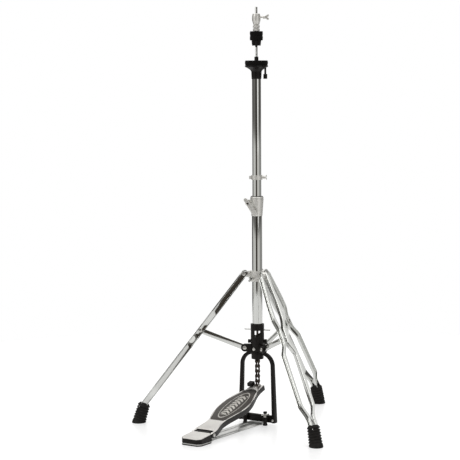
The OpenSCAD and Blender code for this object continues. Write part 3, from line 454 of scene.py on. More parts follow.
def chrome(c):
    return polished("chrome_plate", c.chrome, c.chrome_roughness, 0.05)


def satin(c):
    """Satin plate of the cast and turned fittings: broad soft reflections, faint haze and turning lines."""
    f = Finish("satin_plate", metallic=1.0)
    haze = f.noise(0.12, 4)
    lines = f.noise(1.2, 3, 0.6, (0.4, 0.4, 4.0))
    f.feed("Base Color", f.mix(haze * 0.5 + lines * 0.2, c.satin, tuple(x * 0.84 for x in c.satin)))
    f.feed("Roughness", 0.42 + 0.1 * haze + 0.06 * lines)
    return f.material


def bright_steel(c):
    return polished("zinc_plated_steel", c.bright_steel, 0.32, 0.12)


def dark_steel(c):
    """Oiled dark steel of the chain and the spring: brownish, browner in the hollows, uneven gloss."""
    f = Finish("oiled_dark_steel", metallic=1.0)
    patch = f.noise(0.35, 5)
    f.feed("Base Color", f.mix(patch.step(0.35, 0.7), c.dark_steel, tuple(x * 0.55 for x in c.dark_steel)))
    f.feed("Roughness", 0.34 + 0.2 * f.noise(0.9, 3))
    f.bump(f.noise(1.8, 4), 0.02)
    return f.material


def black_casting(c):
    """Black enamel on a casting: orange peel, soft gloss and a few dull patches."""
    f = Finish("black_enamel_casting", specular_ior_level=0.14, coat_weight=0.06, coat_roughness=0.12, ior=1.5)
    patch = f.noise(0.06, 4)
    f.feed("Base Color", f.mix(patch.step(0.4, 0.75), c.casting, tuple(x * 1.6 for x in c.casting)))
    f.feed("Roughness", 0.3 + 0.16 * f.noise(0.3, 4) + 0.08 * patch)
    peel = f.noise(0.9, 2, 0.4)
    f.bump(peel + 0.3 * f.noise(3.5, 2), 0.05, 0.8)
    return f.material


def board_casting(c):
    """Cast aluminium board: fine matt grain, bright where feet polish it, and black sides under the rim."""
    f = Finish("cast_aluminium_board")
    slope = f.node("ShaderNodeNewGeometry", {})
    normal = f.node("ShaderNodeSeparateXYZ", {}, {0: slope.outputs["Normal"]})
    lift = Value(f.tree, normal.outputs[2])
    top = lift.step(0.25, 0.6)
    grain = f.noise(1.6, 5, 0.6)
    polish = f.noise(0.03, 3).step(0.35, 0.7)
    silver = f.mix(grain * 0.6 + polish * 0.3, c.board, tuple(x * 0.82 for x in c.board))
    f.feed("Base Color", f.mix(top, c.casting, silver))
    f.feed("Metallic", top)
    f.feed("Roughness", top * (0.36 - 0.1 * polish + 0.1 * grain) + (1 - top) * (0.34 + 0.12 * grain))
    f.bump(grain + 0.4 * f.noise(0.5, 3), 0.05, 0.7)
    return f.material


def heel_silver(c):
    """Brushed aluminium: fine lines across the plate and a few rubbed spots."""
    f = Finish("brushed_aluminium", metallic=1.0)
    lines = f.noise(1.0, 3, 0.6, (0.25, 5.0, 5.0))
    rubbed = f.noise(0.05, 3)
    f.feed("Base Color", f.mix(lines * 0.5 + rubbed * 0.3, c.board, tuple(x * 0.78 for x in c.board)))
    f.feed("Roughness", 0.3 + 0.16 * lines)
    f.bump(lines, 0.02, 0.6)
    return f.material


def base_steel(c):
    """Bright plated sheet with rolling lines and slightly darker patches."""
    f = Finish("plated_sheet", metallic=1.0)
    rolled = f.noise(0.8, 3, 0.6, (3.0, 0.08, 3.0))
    patch = f.noise(0.03, 3)
    f.feed("Base Color", f.mix(patch * 0.6 + rolled * 0.2, c.plate, tuple(x * 0.75 for x in c.plate)))
    f.feed("Roughness", 0.22 + 0.12 * rolled + 0.06 * patch)
    f.bump(rolled, 0.01, 0.5)
    return f.material


def black_plastic(c):
    """Moulded satin plastic: a fine leathery grain and slightly greyer rubbed patches."""
    f = Finish("satin_black_plastic", specular_ior_level=0.2, ior=1.46)
    grain = f.noise(1.9, 3, 0.5)
    rub = f.noise(0.09, 4).step(0.5, 0.8)
    f.feed("Base Color", f.mix(rub * 0.6, c.plastic, tuple(x * 1.9 for x in c.plastic)))
    f.feed("Roughness", 0.36 + 0.14 * grain + 0.08 * rub)
    f.bump(grain, 0.03, 0.7)
    return f.material


def rubber(c):
    """Moulded rubber: matt, dusty grey in the hollows and towards the floor, with a coarse grain."""
    f = Finish("ribbed_rubber", specular_ior_level=0.25, ior=1.5)
    grain = f.noise(0.9, 5, 0.65)
    dust = f.noise(0.13, 4).step(0.45, 0.75) * (1 - f.z.step(4.0, 45.0) * 0.8)
    f.feed("Base Color", f.mix(dust * 0.55, c.rubber, c.dust))
    f.feed("Roughness", 0.6 + 0.2 * grain + 0.1 * dust)
    f.bump(grain + 0.5 * f.noise(3.0, 2), 0.09, 0.8)
    return f.material


def felt(c):
    """Pressed wool: tangled fibres, lint specks and a soft matt surface."""
    f = Finish("black_felt", roughness=0.95, specular_ior_level=0.1, sheen_weight=0.04, sheen_roughness=0.5)
    fibres = f.noise(1.1, 6, 0.75, (1, 1, 2.5))
    tangle = f.cells(1.6)
    lint = f.noise(2.4, 2).step(0.66, 0.74)
    f.feed("Base Color", f.mix((fibres * 0.8 + lint * 0.6).least(1.0), c.felt, tuple(x * 3.2 for x in c.felt)))
    f.bump(fibres + 0.6 * tangle, 0.35, 0.9)
    return f.material


def inset_plastic(c):
    """Dark grip sheet of the board: fine pimples, scuffs from shoes, a printed ornament, and painted shade that darkens
    its toe end towards black.

    The ornament is a row of chevrons inside an oval line, drawn from distances on the sheet's own plane."""
    f = Finish("dark_grip_sheet", specular_ior_level=0.2)
    along = (f.y + HINGE_Y) / math.cos(BOARD_SLOPE) - INSET_CENTRE
    across = f.x
    arrow = (along + across.size() * 0.9) / 13.0
    wave = (arrow.part() - 0.5).size()
    stripe = 1 - wave.step(0.27, 0.31)
    field = (1 - (across.size() - 11.0).step(0.0, 0.5)) * (1 - (along.size() - 50.0).step(0.0, 0.8))
    edge = ((along / 66.0) ** 2.0 + (across / 21.0) ** 2.0)
    outline = 1 - ((edge - 1.0).size()).step(0.045, 0.075)
    mark = (stripe * field).most(outline)
    worn = f.noise(0.35, 4).step(0.36, 0.5)
    mark = mark * (0.35 + 0.65 * worn)
    scuff = f.noise(0.12, 5).step(0.5, 0.8)
    sheet = f.mix(scuff * 0.5, c.inset, tuple(x * 1.5 for x in c.inset))
    # painted shade: the sheet's toe end, where the recess lies in shade, darkens to near black
    shade = along.step(58.0, 84.0)
    f.feed("Base Color", f.mix(shade * 0.9, f.mix(mark, sheet, c.ornament), tuple(x * 0.15 for x in c.inset)))
    pimples = 1 - f.cells(0.75).step(0.1, 0.55)
    f.feed("Roughness", 0.42 + 0.12 * scuff - 0.08 * mark)
    f.bump(pimples * (1 - 0.6 * mark) + 0.3 * mark, 0.12, 0.7)
    return f.material


MAKERS = {
    "chrome": chrome,
    "satin": satin,
    "bright_steel": bright_steel,
    "dark_steel": dark_steel,
    "black_casting": black_casting,
    "board_casting": board_casting,
    "heel_silver": heel_silver,
    "plate": base_steel,
    "black_plastic": black_plastic,
    "rubber": rubber,
    "felt": felt,
    "inset_plastic": inset_plastic,
}


# ---------------------------------------------------------------- sizes of the frame that the pieces follow, mm
HINGE_Y = -pivot("pedal_press")[1]
HINGE_Z = pivot("pedal_press")[2]
BOARD_SLOPE = math.radians(17)
BOARD_TOP = 5.5
SKIRT = 14.5
BOARD_WALL = 3.5
INSET_CENTRE = 141.0
INSET_SIZE = (36.8, 92.0)
INSET_DEPTH = 1.6
TOE_S = HINGE_Y / math.cos(BOARD_SLOPE)
CLAMP_BOLT = (22.0, 563.0)
CLAMP_LEVER_LEAN = math.radians(34)
HUB_WINDOW = (224.5, 246.0)
TILT_SCREW_REACH = 22.0
TENSION_PIN_Z = 241.0
TENSION_PIN_TURN = 15.0
SPUR_PLACE = (30.0, -12.0)
PLATE_END = -222.0
FELT_HEIGHTS = ((967.95, 979.25, 0.5), (979.3, 990.65, 0.7))
LOCK_NUT_HEIGHTS = (990.9, 998.9)
LOCK_NUT_TALL = 6.6
BOTTOM_NUT_TALL = 13.0
CHAIN_PITCH = 12.7
CHAIN_LINKS = 6
CHAIN_TOP = 173.0
PLATE_THICK = 1.15
ROLLER_HALF = 2.55
LEG_PIVOT = (33.0, 383.1)
LEG_LEAN = math.radians(37.433)
STRIP_LENGTH = 437.4
STRIP_FACE = 15.5
STRIP_DEPTH = 6.5
STRIP_SHEET = 1.5
WAIST = 182.6
BRACE_PIVOT = (32.0, 195.0)
BRACE_RISE = math.radians(21.05)
BRACE_LENGTH = 120.0
BOOT_TOP = (288.8, 49.7)
BOOT_LEAN = math.radians(17)
BOOT_LENGTH = 52.0


def leg_axes(angle):
    """Axes down a leg, across it and square to it in its upright plane."""
    out, side = bearing(angle)
    s, c = math.sin(LEG_LEAN), math.cos(LEG_LEAN)
    return s * out - c * UP, side, c * out + s * UP


def leg_start(angle):
    return LEG_PIVOT[0] * bearing(angle)[0] + LEG_PIVOT[1] * UP


def half_gap(t):
    """Half the distance between a leg's two strips, at t millimetres below the pivot: smooth steps between
    5 at the collar, 9 above the brace, 2.2 at the brace, 13.2 below it and 3 in the boot."""
    upper = 5 + 4 * ease((t - 4) / 96)
    waist = 9 - 6.8 * ease((t - WAIST * 0.66) / (WAIST * 0.24))
    lower = 2.2 + 11 * ease((t - WAIST - 12) / 36)
    end = 13.2 - 10.2 * ease((t - STRIP_LENGTH * 0.83) / (STRIP_LENGTH * 0.09))
    below = np.where(t < STRIP_LENGTH * 0.8, lower, end)
    return np.where(t < WAIST * 0.6, upper, np.where(t < WAIST, waist, below))


def leg_strip(angle, side, samples=150):
    """A rolled channel: the section is a U whose two corners are quarter circles, and it is carried down the
    leg at the half gap from its middle. Its top end is a half circle in side view, and its flanges fade in there."""
    down, across, square = leg_axes(angle)
    start = leg_start(angle)
    half = STRIP_FACE / 2
    t = np.concatenate([-10 + half * (1 - np.cos(np.linspace(0.12, math.pi / 2, 9))),
                        np.linspace(-10 + half, STRIP_LENGTH, samples)[1:]])
    top = np.clip((t + 10) / half, 0, 1)
    tall = half * np.sqrt(1 - (1 - top) ** 2)
    deep = STRIP_SHEET + (STRIP_DEPTH - STRIP_SHEET) * ease((t + 6) / 16)
    corner, inner, rim = 2.4, 0.9, 0.35
    turn = np.radians(np.linspace(0, 90, 6))
    c, s = np.cos(turn), np.sin(turn)
    tall, deep = tall[:, None], deep[:, None]
    bend = np.minimum(corner, 0.8 * np.minimum(tall, deep))
    fold = np.minimum(inner, 0.5 * bend)
    d = [bend - bend * c, deep - rim, deep, deep, deep - rim, STRIP_SHEET + fold * (1 - c[::-1])]
    z = [tall - bend + bend * s, tall + 0 * deep, tall - rim, tall - STRIP_SHEET + rim, tall - STRIP_SHEET,
         tall - STRIP_SHEET - fold + fold * s[::-1]]
    d, z = np.concatenate(d, 1), np.concatenate(z, 1)
    d = np.concatenate([d, d[:, ::-1]], 1)
    z = np.concatenate([z, -z[:, ::-1]], 1)
    middle = start + t[:, None] * down
    gap = half_gap(t)[:, None]
    points = middle[:, None] + ((gap + d) * side)[..., None] * across + z[..., None] * square
    n = d.shape[1]
    return points.reshape(-1, 3), grid_faces(len(t), n, False, True), end_caps(len(t), n)


def dome(radius, height, axis, side, origin):
    """A low round head: r falls to zero over the height as a quarter ellipse."""
    t = np.linspace(0, math.pi / 2, 6)
    rim = [(0, 0), (radius, 0)]
    profile = rim + [(radius * math.cos(a), height * (0.45 + 0.55 * math.sin(a))) for a in t]

    return turned(profile, origin, (side, np.cross(axis, side), axis), 36)


def wing_screw_surfaces(radius, tip, wing, tall, long, origin, out, side):
    """Along out: a threaded shank from tip, a collar, and a bow-tie wing made of a slab with a waisted outline."""
    shank = thread(radius, tip, wing + 1, out, side, origin)
    neck = radius + 1.6
    profile = [(0, wing - 3), (neck - 0.5, wing - 3), (neck, wing - 2.4), (neck, wing + 1.2), (neck - 1, wing + 2),
               (0, wing + 2)]
    collar = turned(profile, origin, (side, np.cross(out, side), out), 40)
    half = tall / 2
    outline = rounded([(0, -neck * 0.9), (long * 0.35, -neck * 0.8), (long * 0.6, -half), (long, -half * 0.92),
                       (long * 0.9, -half * 0.25), (long * 0.62, 0), (long * 0.9, half * 0.25), (long, half * 0.92),
                       (long * 0.6, half), (long * 0.35, neck * 0.8), (0, neck * 0.9)], 2.2, True, 4)
    blade = slab(outline, -1.5, 1.5, origin + wing * out, (out, UP, -side), 0.6)
    return [shank, collar, blade]


def thread(radius, start, end, axis, side, origin, pitch=1.0, depth=0.35, segments=40):
    """A screw thread: the radius falls by depth times the distance from the crest, along a helix of that pitch."""
    count = max(int((end - start) / pitch * 6), 4)
    heights = np.linspace(start + 0.4, end - 0.4, count)
    profile = np.concatenate([[(0, start), (radius - 0.45, start)],
                              np.stack([np.full(count, radius), heights], 1), [(radius - 0.45, end), (0, end)]])

    def groove(angle, r, h):
        phase = (h / pitch - angle / (2 * np.pi)) % 1.0
        inside = (h > start + 0.3) & (h < end - 0.3)
        return np.where(inside, -depth * np.abs(2 * phase - 1), 0)

    return turned(profile, origin, (side, np.cross(axis, side), axis), segments, groove)


def knurl(count, depth, low_z, high_z, width=0.8):
    """A change of radius for a gripped rim: depth times the cosine of count times the angle, fading at the ends."""
    def change(angle, r, h):
        fade = ease((h - low_z) / width) * ease((high_z - h) / width)
        return -depth * (0.5 - 0.5 * np.cos(count * angle)) * fade

    return change


# ---------------------------------------------------------------- what a user may change
def colour(name, description, value):
    """A colour setting."""
    return FloatVectorProperty(name=name, description=description, subtype="COLOR", size=3, default=value,
                               min=0, max=1)


class HiHatShapes(bpy.types.PropertyGroup):
    """Small sizes of the pieces, which leave the frame's sizes alone."""

    knurl_depth: FloatProperty(name="Knurl depth", description="Depth of the grip on nuts and knobs", default=0.0005,
                               min=0.0, max=0.001, unit="LENGTH")
    knurl_count: IntProperty(name="Knurl teeth", description="Teeth round a gripped nut", default=36, min=12, max=72)
    boot_ribs: IntProperty(name="Boot ribs", description="Ribs round each rubber boot", default=6, min=3, max=9)
    rib_depth: FloatProperty(name="Rib depth", description="Height of a boot's ribs", default=0.0022, min=0.0005,
                             max=0.003, unit="LENGTH")


class HiHatFinishes(bpy.types.PropertyGroup):
    """Colours and gloss of the stand's finishes."""

    chrome: colour("Chrome", "Colour of the chrome plate", (0.63, 0.635, 0.615))
    chrome_roughness: FloatProperty(name="Chrome roughness", description="Blur of the chrome's reflections",
                                    default=0.07, min=0, max=1)
    satin: colour("Satin plate", "Colour of the clamps, the clutch and the collar", (0.80, 0.79, 0.755))
    bright_steel: colour("Bright steel", "Colour of bolts and rivets", (0.56, 0.55, 0.52))
    dark_steel: colour("Dark steel", "Colour of the chain and the spring", (0.075, 0.06, 0.05))
    casting: colour("Black enamel", "Colour of the castings", (0.006, 0.0048, 0.004))
    board: colour("Board silver", "Colour of the cast board's top", (0.76, 0.74, 0.71))
    plate: colour("Base plate", "Colour of the base plate", (0.66, 0.66, 0.64))
    plastic: colour("Black plastic", "Colour of the moulded parts", (0.005, 0.0042, 0.0036))
    rubber: colour("Rubber", "Colour of the boots and pads", (0.008, 0.007, 0.006))
    dust: colour("Dust", "Colour of dust on the rubber", (0.035, 0.031, 0.027))
    felt: colour("Felt", "Colour of the felts", (0.003, 0.0027, 0.0024))
    inset: colour("Grip sheet", "Colour of the board's oval sheet", (0.05, 0.043, 0.038))
    ornament: colour("Ornament", "Colour of the print on the oval sheet", (0.60, 0.58, 0.53))


class HiHatStage(bpy.types.PropertyGroup):
    """Light, floor and camera."""

    floor: colour("Floor", "Colour of the floor", (0.50, 0.50, 0.50))
    floor_glow: FloatProperty(name="Floor glow", description="Light the floor gives by itself, as a lit sweep does",
                              default=0.50, min=0, max=2)
    key_power: FloatProperty(name="Key light", description="Power of the soft light at the front left", default=22,
                             min=0, max=2000, unit="POWER")
    room_strength: FloatProperty(name="Room", description="Strength of the studio's walls", default=0.88, min=0,
                                 max=5)
    lens: FloatProperty(name="Lens", description="Focal length of the camera", default=137.7, min=20, max=300)


def sizes():
    return bpy.context.scene.hihat_shapes


class Making:
    """What every operator here shares."""

    bl_options = {"REGISTER", "UNDO"}

    def execute(self, context):
        self.make()
        return {"FINISHED"}


def ring(inner, outer, low_z, high_z, edge=0.4, segments=96, ripple=None):
    """A tube about the column's axis: the closed section of a ring turned once round."""
    return turned(ring_profile(inner, outer, low_z, high_z, edge), ORIGIN, XYZ, segments, ripple)


# ---------------------------------------------------------------- column
class HIHAT_OT_lower_tube(Making, bpy.types.Operator):
    """The fixed tube: a turned ring above the hub's window and a short one below it"""

    bl_idname = "hihat.lower_tube"
    bl_label = "Lower tube"

    def make(self):
        top, bottom = high("lower_tube")[2], low("lower_tube")[2]
        bore, radius = 11.5, high("lower_tube")[0]
        parts = [ring(bore, radius, HUB_WINDOW[1], top, 0.3), ring(bore, radius, bottom, HUB_WINDOW[0], 0.3)]
        piece("lower_tube_chrome", parts, "base", "chrome", ["lower_tube"])


class HIHAT_OT_height_clamp(Making, bpy.types.Operator):
    """The split clamp with its bush and its hexagon bolt"""

    bl_idname = "hihat.height_clamp"
    bl_label = "Height clamp"

    def make(self):
        softened("height_clamp", "height_clamp_casting", "base", "satin", 0.7)
        low_z, high_z = low("clamp_bush")[2], high("clamp_bush")[2]
        lip = high("clamp_bush")[0]
        profile = rounded([(11.15, low_z), (13.4, low_z), (13.4, high_z - 1), (lip, high_z - 1), (lip, high_z),
                           (11.15, high_z)], 0.35, True, 3)
        piece("clamp_bush_plastic", [turned(looped(profile))], "base", "black_plastic", ["clamp_bush"])
        out, side = bearing(CLAMP_DIR)
        centre = CLAMP_BOLT[0] * out + CLAMP_BOLT[1] * UP
        head = hexagon_head(5.0, 4.0, -side, out, centre - 6 * side)
        shank = thread(3, -6, 24.4, side, out, centre, 1.0, 0.3)
        piece("clamp_bolt_hexagon", [head, shank], "base", "chrome", ["clamp_bolt"])


def hexagon_head(radius, height, axis, side, origin):
    """A bolt head: a turned chamfered profile whose radius is cut to r cos(30) / cos(angle to the nearest flat)."""
    def flats(angle, r, h):
        nearest = (angle + np.pi / 6) % (np.pi / 3) - np.pi / 6
        flat = radius * math.cos(math.pi / 6) / np.cos(nearest)
        return np.minimum(flat - r, 0)

    profile = [(0, 0), (radius * 0.97, 0), (radius, 0.3), (radius, height - 0.9), (radius * 0.84, height),
               (0, height)]
    return turned(profile, origin, (side, np.cross(axis, side), axis), 96, flats)


class HIHAT_OT_clamp_lever(Making, bpy.types.Operator):
    """The lever nut of the height clamp: a turned hub and a blade that swells to its rounded tip"""

    bl_idname = "hihat.clamp_lever"
    bl_label = "Clamp lever"

    def make(self):
        out, side = bearing(CLAMP_DIR)
        centre = CLAMP_BOLT[0] * out + CLAMP_BOLT[1] * UP
        start, end = 6.4, 22.9
        profile = [(3.1, start), (5.4, start), (5.9, start + 0.6), (5.3, start + 5), (5.6, end - 6.5), (6.4, end - 5.6),
                   (6.4, end - 0.9), (5.6, end), (3.1, end)]
        profile = rounded(profile, 0.5, True, 3)
        hub = turned(looped(profile), centre, (out, UP, -side), 64)
        c, s = math.cos(CLAMP_LEVER_LEAN), math.sin(CLAMP_LEVER_LEAN)
        down = -c * UP - s * out
        across = c * out - s * UP
        tail, width = 38.0, 13.0
        left = [(-5.0, -3), (-5.4, 4), (-5.9, 14), (-6.4, 24)]
        tip = arc(0, tail - width / 2, width / 2, 180, 0, 14)
        right = [(-x, y) for x, y in left[::-1]]
        back = arc(0, -10.9, 4.5, 0, -180, 12)
        outline = np.concatenate([np.array(left), tip, np.array(right), back])[::-1]

        def crown(x, y):
            return 0.5 * np.cos(np.pi * np.clip(y, 0, tail) / tail) - 0.5

        blade = slab(outline, end - 5, end, centre, (across, down, side), 1.5, 5, crown)
        piece("clamp_lever_chrome", [hub, blade], "clamp_lever", "satin", ["clamp_lever"])


class HIHAT_OT_upper_tube(Making, bpy.types.Operator):
    """The sliding tube, a turned ring"""

    bl_idname = "hihat.upper_tube"
    bl_label = "Upper tube"

    def make(self):
        radius = high("upper_tube")[0]
        tube = ring(radius - 1.2, radius, low("upper_tube")[2], high("upper_tube")[2], 0.3)
        piece("upper_tube_chrome", [tube], "upper_column", "chrome", ["upper_tube"])


class HIHAT_OT_cymbal_seat(Making, bpy.types.Operator):
    """The cup, its sleeve, the tilting plate, the felt and the tilt screw"""

    bl_idname = "hihat.cymbal_seat"
    bl_label = "Cymbal seat"

    def make(self):
        base, rim = low("seat_cup")[2], high("seat_cup")[2]
        flange = high("seat_cup")[0]
        socket = base + 12
        t = np.linspace(0, 1, 14)
        flare = np.stack([13 + (flange - 0.4 - 13) * t**1.8, rim - 14.5 + 12.3 * t], 1)
        outer = [(11.15, base), (11.9, base), (12.3, base + 0.6), (12.7, base + 10), (12.95, rim - 15.5)]
        top = [(flange, rim - 2.0), (flange, rim - 0.6), (flange - 0.5, rim), (5.4, rim), (5.4, socket),
               (11.15, socket)]
        profile = np.concatenate([np.array(outer), flare, np.array(top), np.array(outer[:1])])

        def grip(angle, r, h):
            band = ease((h - base - 0.8) / 1.0) * ease((rim - 16.5 - h) / 2.0) * (r > 12)
            return -0.25 * band * (0.5 - 0.5 * np.cos(24 * angle))

        cup = turned(profile, segments=192, ripple=grip)
        piece("seat_cup_enamel", [cup], "upper_column", "black_casting", ["seat_cup"])
        top_z = high("seat_sleeve")[2]
        felt_top = high("seat_felt")[2]
        wall = [(3.45, socket), (5.3, socket), (5.3, felt_top), (5.1, felt_top + 0.3), (5.1, top_z - 0.9),
                (4.6, top_z), (3.45, top_z)]
        sleeve = turned(looped(wall), segments=64)
        piece("seat_sleeve_enamel", [sleeve], "upper_column", "black_casting", ["seat_sleeve"])
        disc = ring(6.75, high("seat_disc")[0], low("seat_disc")[2], high("seat_disc")[2], 0.5)
        piece("seat_disc_plastic", [disc], "cymbal_seat", "black_plastic", ["seat_disc"])
        piece("seat_felt_pad", [felt_ring(6.8, high("seat_felt")[0], low("seat_felt")[2], felt_top, 1.3)], "cymbal_seat",
              "felt", ["seat_felt"])
        self.tilt_screw()

    def tilt_screw(self):
        out = bearing(SCREW_DIR)[0]
        place = TILT_SCREW_REACH * out
        bottom, top = low("tilt_knob")[2], high("tilt_knob")[2]
        profile = rounded([(0, bottom), (4.9, bottom), (4.9, bottom + 12), (2.6, bottom + 12), (0, bottom + 12)],
                          [0, 0.9, 0.9, 0, 0], False, 4)
        grip = knurl(20, sizes().knurl_depth / MM, bottom, bottom + 12)
        knob = turned(profile, place, XYZ, 120, grip)
        shank = rod(2.5, bottom + 11, top, UP, out, place, 0.3, 32)
        piece("tilt_knob_knurled", [knob, shank], "tilt_knob", "black_casting", ["tilt_knob"])
        tip = rod(1.8, low("tilt_tip")[2], high("tilt_tip")[2], UP, out, place, 0.3, 32)
        piece("tilt_tip_plastic", [tip], "tilt_tip", "black_plastic", ["tilt_tip"])


def felt_ring(inner, outer, low_z, high_z, edge):
    """A pressed ring: rounded edges, a side that bulges as a sine of the height, and a radius uneven by a fifth
    of a millimetre as a sum of three sines of the angle."""
    t = np.linspace(0, 1, 15)
    side = np.stack([outer - edge * (1 - np.sin(t * np.pi) ** 0.45) - 0.25 * (1 - np.sin(t * np.pi)),
                     low_z + (high_z - low_z) * t], 1)
    profile = np.concatenate([[(inner, low_z + 0.3), (inner + 0.3, low_z)], side, [(inner + 0.3, high_z),
                              (inner, high_z - 0.3), (inner, low_z + 0.3)]])

    def uneven(angle, r, h):
        wave = np.sin(3 * angle + 0.4) + np.sin(7 * angle + 1.9) + 0.7 * np.sin(11 * angle + h)
        return -0.08 * (r > inner + 2) * (2.7 - wave)

    return turned(profile, segments=120, ripple=uneven)


class HIHAT_OT_memory_lock(Making, bpy.types.Operator):
    """The memory lock's ring and its wing screw"""

    bl_idname = "hihat.memory_lock"
    bl_label = "Memory lock"

    def make(self):
        softened("memory_lock", "memory_lock_ring", "memory_lock", "satin", 0.7)
        out, side = bearing(SCREW_DIR)
        centre = (low("memory_lock")[2] + high("memory_lock")[2]) / 2
        parts = wing_screw_surfaces(2.5, 11.5, 21.1, 13, 4, centre * UP, out, side)
        piece("memory_lock_screw", parts, "memory_screw", "satin", ["memory_screw"])


# ---------------------------------------------------------------- hub, spring and yoke
class HIHAT_OT_hub(Making, bpy.types.Operator):
    """The hub casting with its pins and bolts, and the tension pin through its slots"""

    bl_idname = "hihat.hub"
    bl_label = "Hub"

    def make(self):
        softened("hub_casting", "hub_casting_enamel", "base", "black_casting", 0.9)
        heads = []
        for angle in LEGS.values():
            out, side = bearing(angle)
            centre = BRACE_PIVOT[0] * out + BRACE_PIVOT[1] * UP
            for way in (1, -1):
                heads.append(dome(5, 2.5, way * side, out, centre + way * 5.5 * side))
            heads.append(rod(3, -5.4, 5.4, side, out, centre))
        piece("brace_pin_heads", heads, "base", "bright_steel", ["brace_pins"])
        front = -XYZ[1]
        bolts = [dome(4, 1.9, front, XYZ[0], 17.0 * front + 193 * UP)]
        bolts.append(rod(3.9, 15.2, 17.2, front, XYZ[0], 193 * UP))
        for way in (-1, 1):
            bolts.append(dome(3.2, 1.9, front, XYZ[0], way * 49.5 * XYZ[0] + 8.05 * front + 14 * UP))
        piece("frame_bolt_heads", bolts, "base", "bright_steel", ["frame_bolts"])
        along, half = bearing(TENSION_PIN_TURN)[0], 34.0
        pin = rod(1.65, -half, half, along, UP, TENSION_PIN_Z * UP, 0.4, 32)
        piece("tension_pin_chrome", [pin], "tension_pin", "chrome", ["tension_pin"])


class HIHAT_OT_spring(Making, bpy.types.Operator):
    """The return spring, and the hidden seat, link and retainer that keep the frame's shape"""

    bl_idname = "hihat.spring"
    bl_label = "Return spring"

    def make(self):
        wire, coil, turns = 1.3, 10.25, 14
        start, end = low("return_spring")[2] + wire / 2, high("return_spring")[2] - wire / 2
        t = np.linspace(0, 1, turns * 28 + 1)
        angle = 2 * np.pi * turns * t
        out = np.stack([np.cos(angle), np.sin(angle), 0 * angle], 1)
        path = coil * out + (start + (end - start) * t)[:, None] * UP
        spring = swept(path, arc(0, 0, wire / 2, 0, 360, 12)[:-1], out, UP)
        piece("return_spring_coil", [spring], "base", "dark_steel", ["return_spring"])
        for node in ("spring_seat", "spring_link", "spring_retainer"):
            part = frame["nodes"][node]
            part.data.materials.clear()
            part.data.materials.append(finish("dark_steel"))


class HIHAT_OT_yoke(Making, bpy.types.Operator):
    """The arched yoke: a rounded bar swept up one arm, over the top and down the other, and its collar"""

    bl_idname = "hihat.yoke"
    bl_label = "Yoke"

    def make(self):
        foot, shoulder, radius, foot_z, arc_z, bar = 55.0, 50.0, 36.0, 7.0, 150.0, 9.0
        middle = radius - bar / 2
        t = np.linspace(0, 1, 24)[:, None]
        arm = (1 - t) * np.array([[foot - bar / 2, foot_z]]) + t * np.array([[shoulder - bar / 2, arc_z]])
        bend = arc(shoulder - radius, arc_z, middle, 0, 90, 16)[1:]
        half = np.concatenate([arm, bend])
        flat = np.concatenate([half, half[::-1] * (-1, 1)])
        path = np.stack([flat[:, 0], 0 * flat[:, 0], flat[:, 1]], 1)
        step = np.gradient(path, axis=0)
        step /= np.linalg.norm(step, axis=1)[:, None]
        across = np.cross(step, XYZ[1])
        depth = 16 - 7 * (path[:, 2] - foot_z) / 179.0
        unit = superellipse(1, 1, 5.0, 40)
        sections = unit[None] * np.stack([np.full(len(path), bar), depth], 1)[:, None]
        bar_surface = swept(path, sections, across, XYZ[1])
        collar = ring(10.6, 15.5, 166.8, 185.1, 0.9)
        piece("yoke_enamel", [bar_surface, collar], "base", "black_casting", ["yoke"], 50)


class HIHAT_OT_crossbar(Making, bpy.types.Operator):
    """The crossbar: a rounded bar swept between the yoke's feet, with a turned boss for each spur"""

    bl_idname = "hihat.crossbar"
    bl_label = "Crossbar and spurs"

    def make(self):
        half, bottom, top = 45.2, 7.0, 25.0
        section = rounded([(-6, bottom), (6, bottom), (6, top - 3.2), (3.6, top), (-3.6, top), (-6, top - 3.2)],
                          [1, 1, 1.8, 1.6, 1.6, 1.8], True, 5)
        path = np.linspace(-half, half, 9)[:, None] * XYZ[0]
        parts = [swept(path, section, XYZ[1], UP)]
        for way in (-1, 1):
            parts.append(turned(ring_profile(3.1, 6.5, 11, 21, 0.8), self.spur_place(way), XYZ, 64))
        piece("crossbar_enamel", parts, "base", "black_casting", ["crossbar"])
        for way, name in ((-1, "left_spur"), (1, "right_spur")):
            self.spur(self.spur_place(way), name)

    def spur_place(self, way):
        return way * SPUR_PLACE[0] * XYZ[0] + SPUR_PLACE[1] * XYZ[1]

    def spur(self, place, name):
        shank = thread(3, 8, 33.3, UP, XYZ[0], place, 1.25, 0.35)
        rim = rounded([(0, 30.9), (5, 30.9), (5, 35.9), (0, 35.9)], [0, 1.2, 1.2, 0], False, 5)
        knob = turned(rim, place, XYZ, 80,
                      knurl(16, 0.5, 30.9, 35.9))
        nut = hexagon_head(4.5, 4.9, UP, XYZ[0], place + 21.45 * UP)
        along, across = bearing(60)
        outline = rounded([(-11, 0.6), (-9.8, 0), (-4, 0.6), (4, 0.6), (9.8, 0), (11, 0.6), (11, 3.6), (9.5, 4),
                           (4, 2.9), (-4, 2.9), (-9.5, 4), (-11, 3.6)], 0.6, True, 4)
        wing = slab(outline, -1.5, 1.5, place + 25.8 * UP, (along, UP, -across), 0.6)
        sole = rounded([(0, 0.2), (5.9, 0.2), (5.9, 3), (4.9, 5), (4.9, 10.3), (0, 10.3)],
                       [0, 0.8, 0.8, 0.8, 0.8, 0], False, 4)
        foot = turned(sole, place, XYZ, 64)
        piece(name + "_screw", [shank, nut, wing], name, "bright_steel", [name])
        piece(name + "_knob", [knob], name, "black_plastic")
        piece(name + "_tip", [foot], name, "rubber")


# ---------------------------------------------------------------- base, heel and board
def board_axes():
    """Along the board, square to its surface, and the hinge point."""
    c, s = math.cos(BOARD_SLOPE), math.sin(BOARD_SLOPE)
    return np.array([0, c, s]), np.array([0, -s, c]), np.array([0, -HINGE_Y, HINGE_Z])


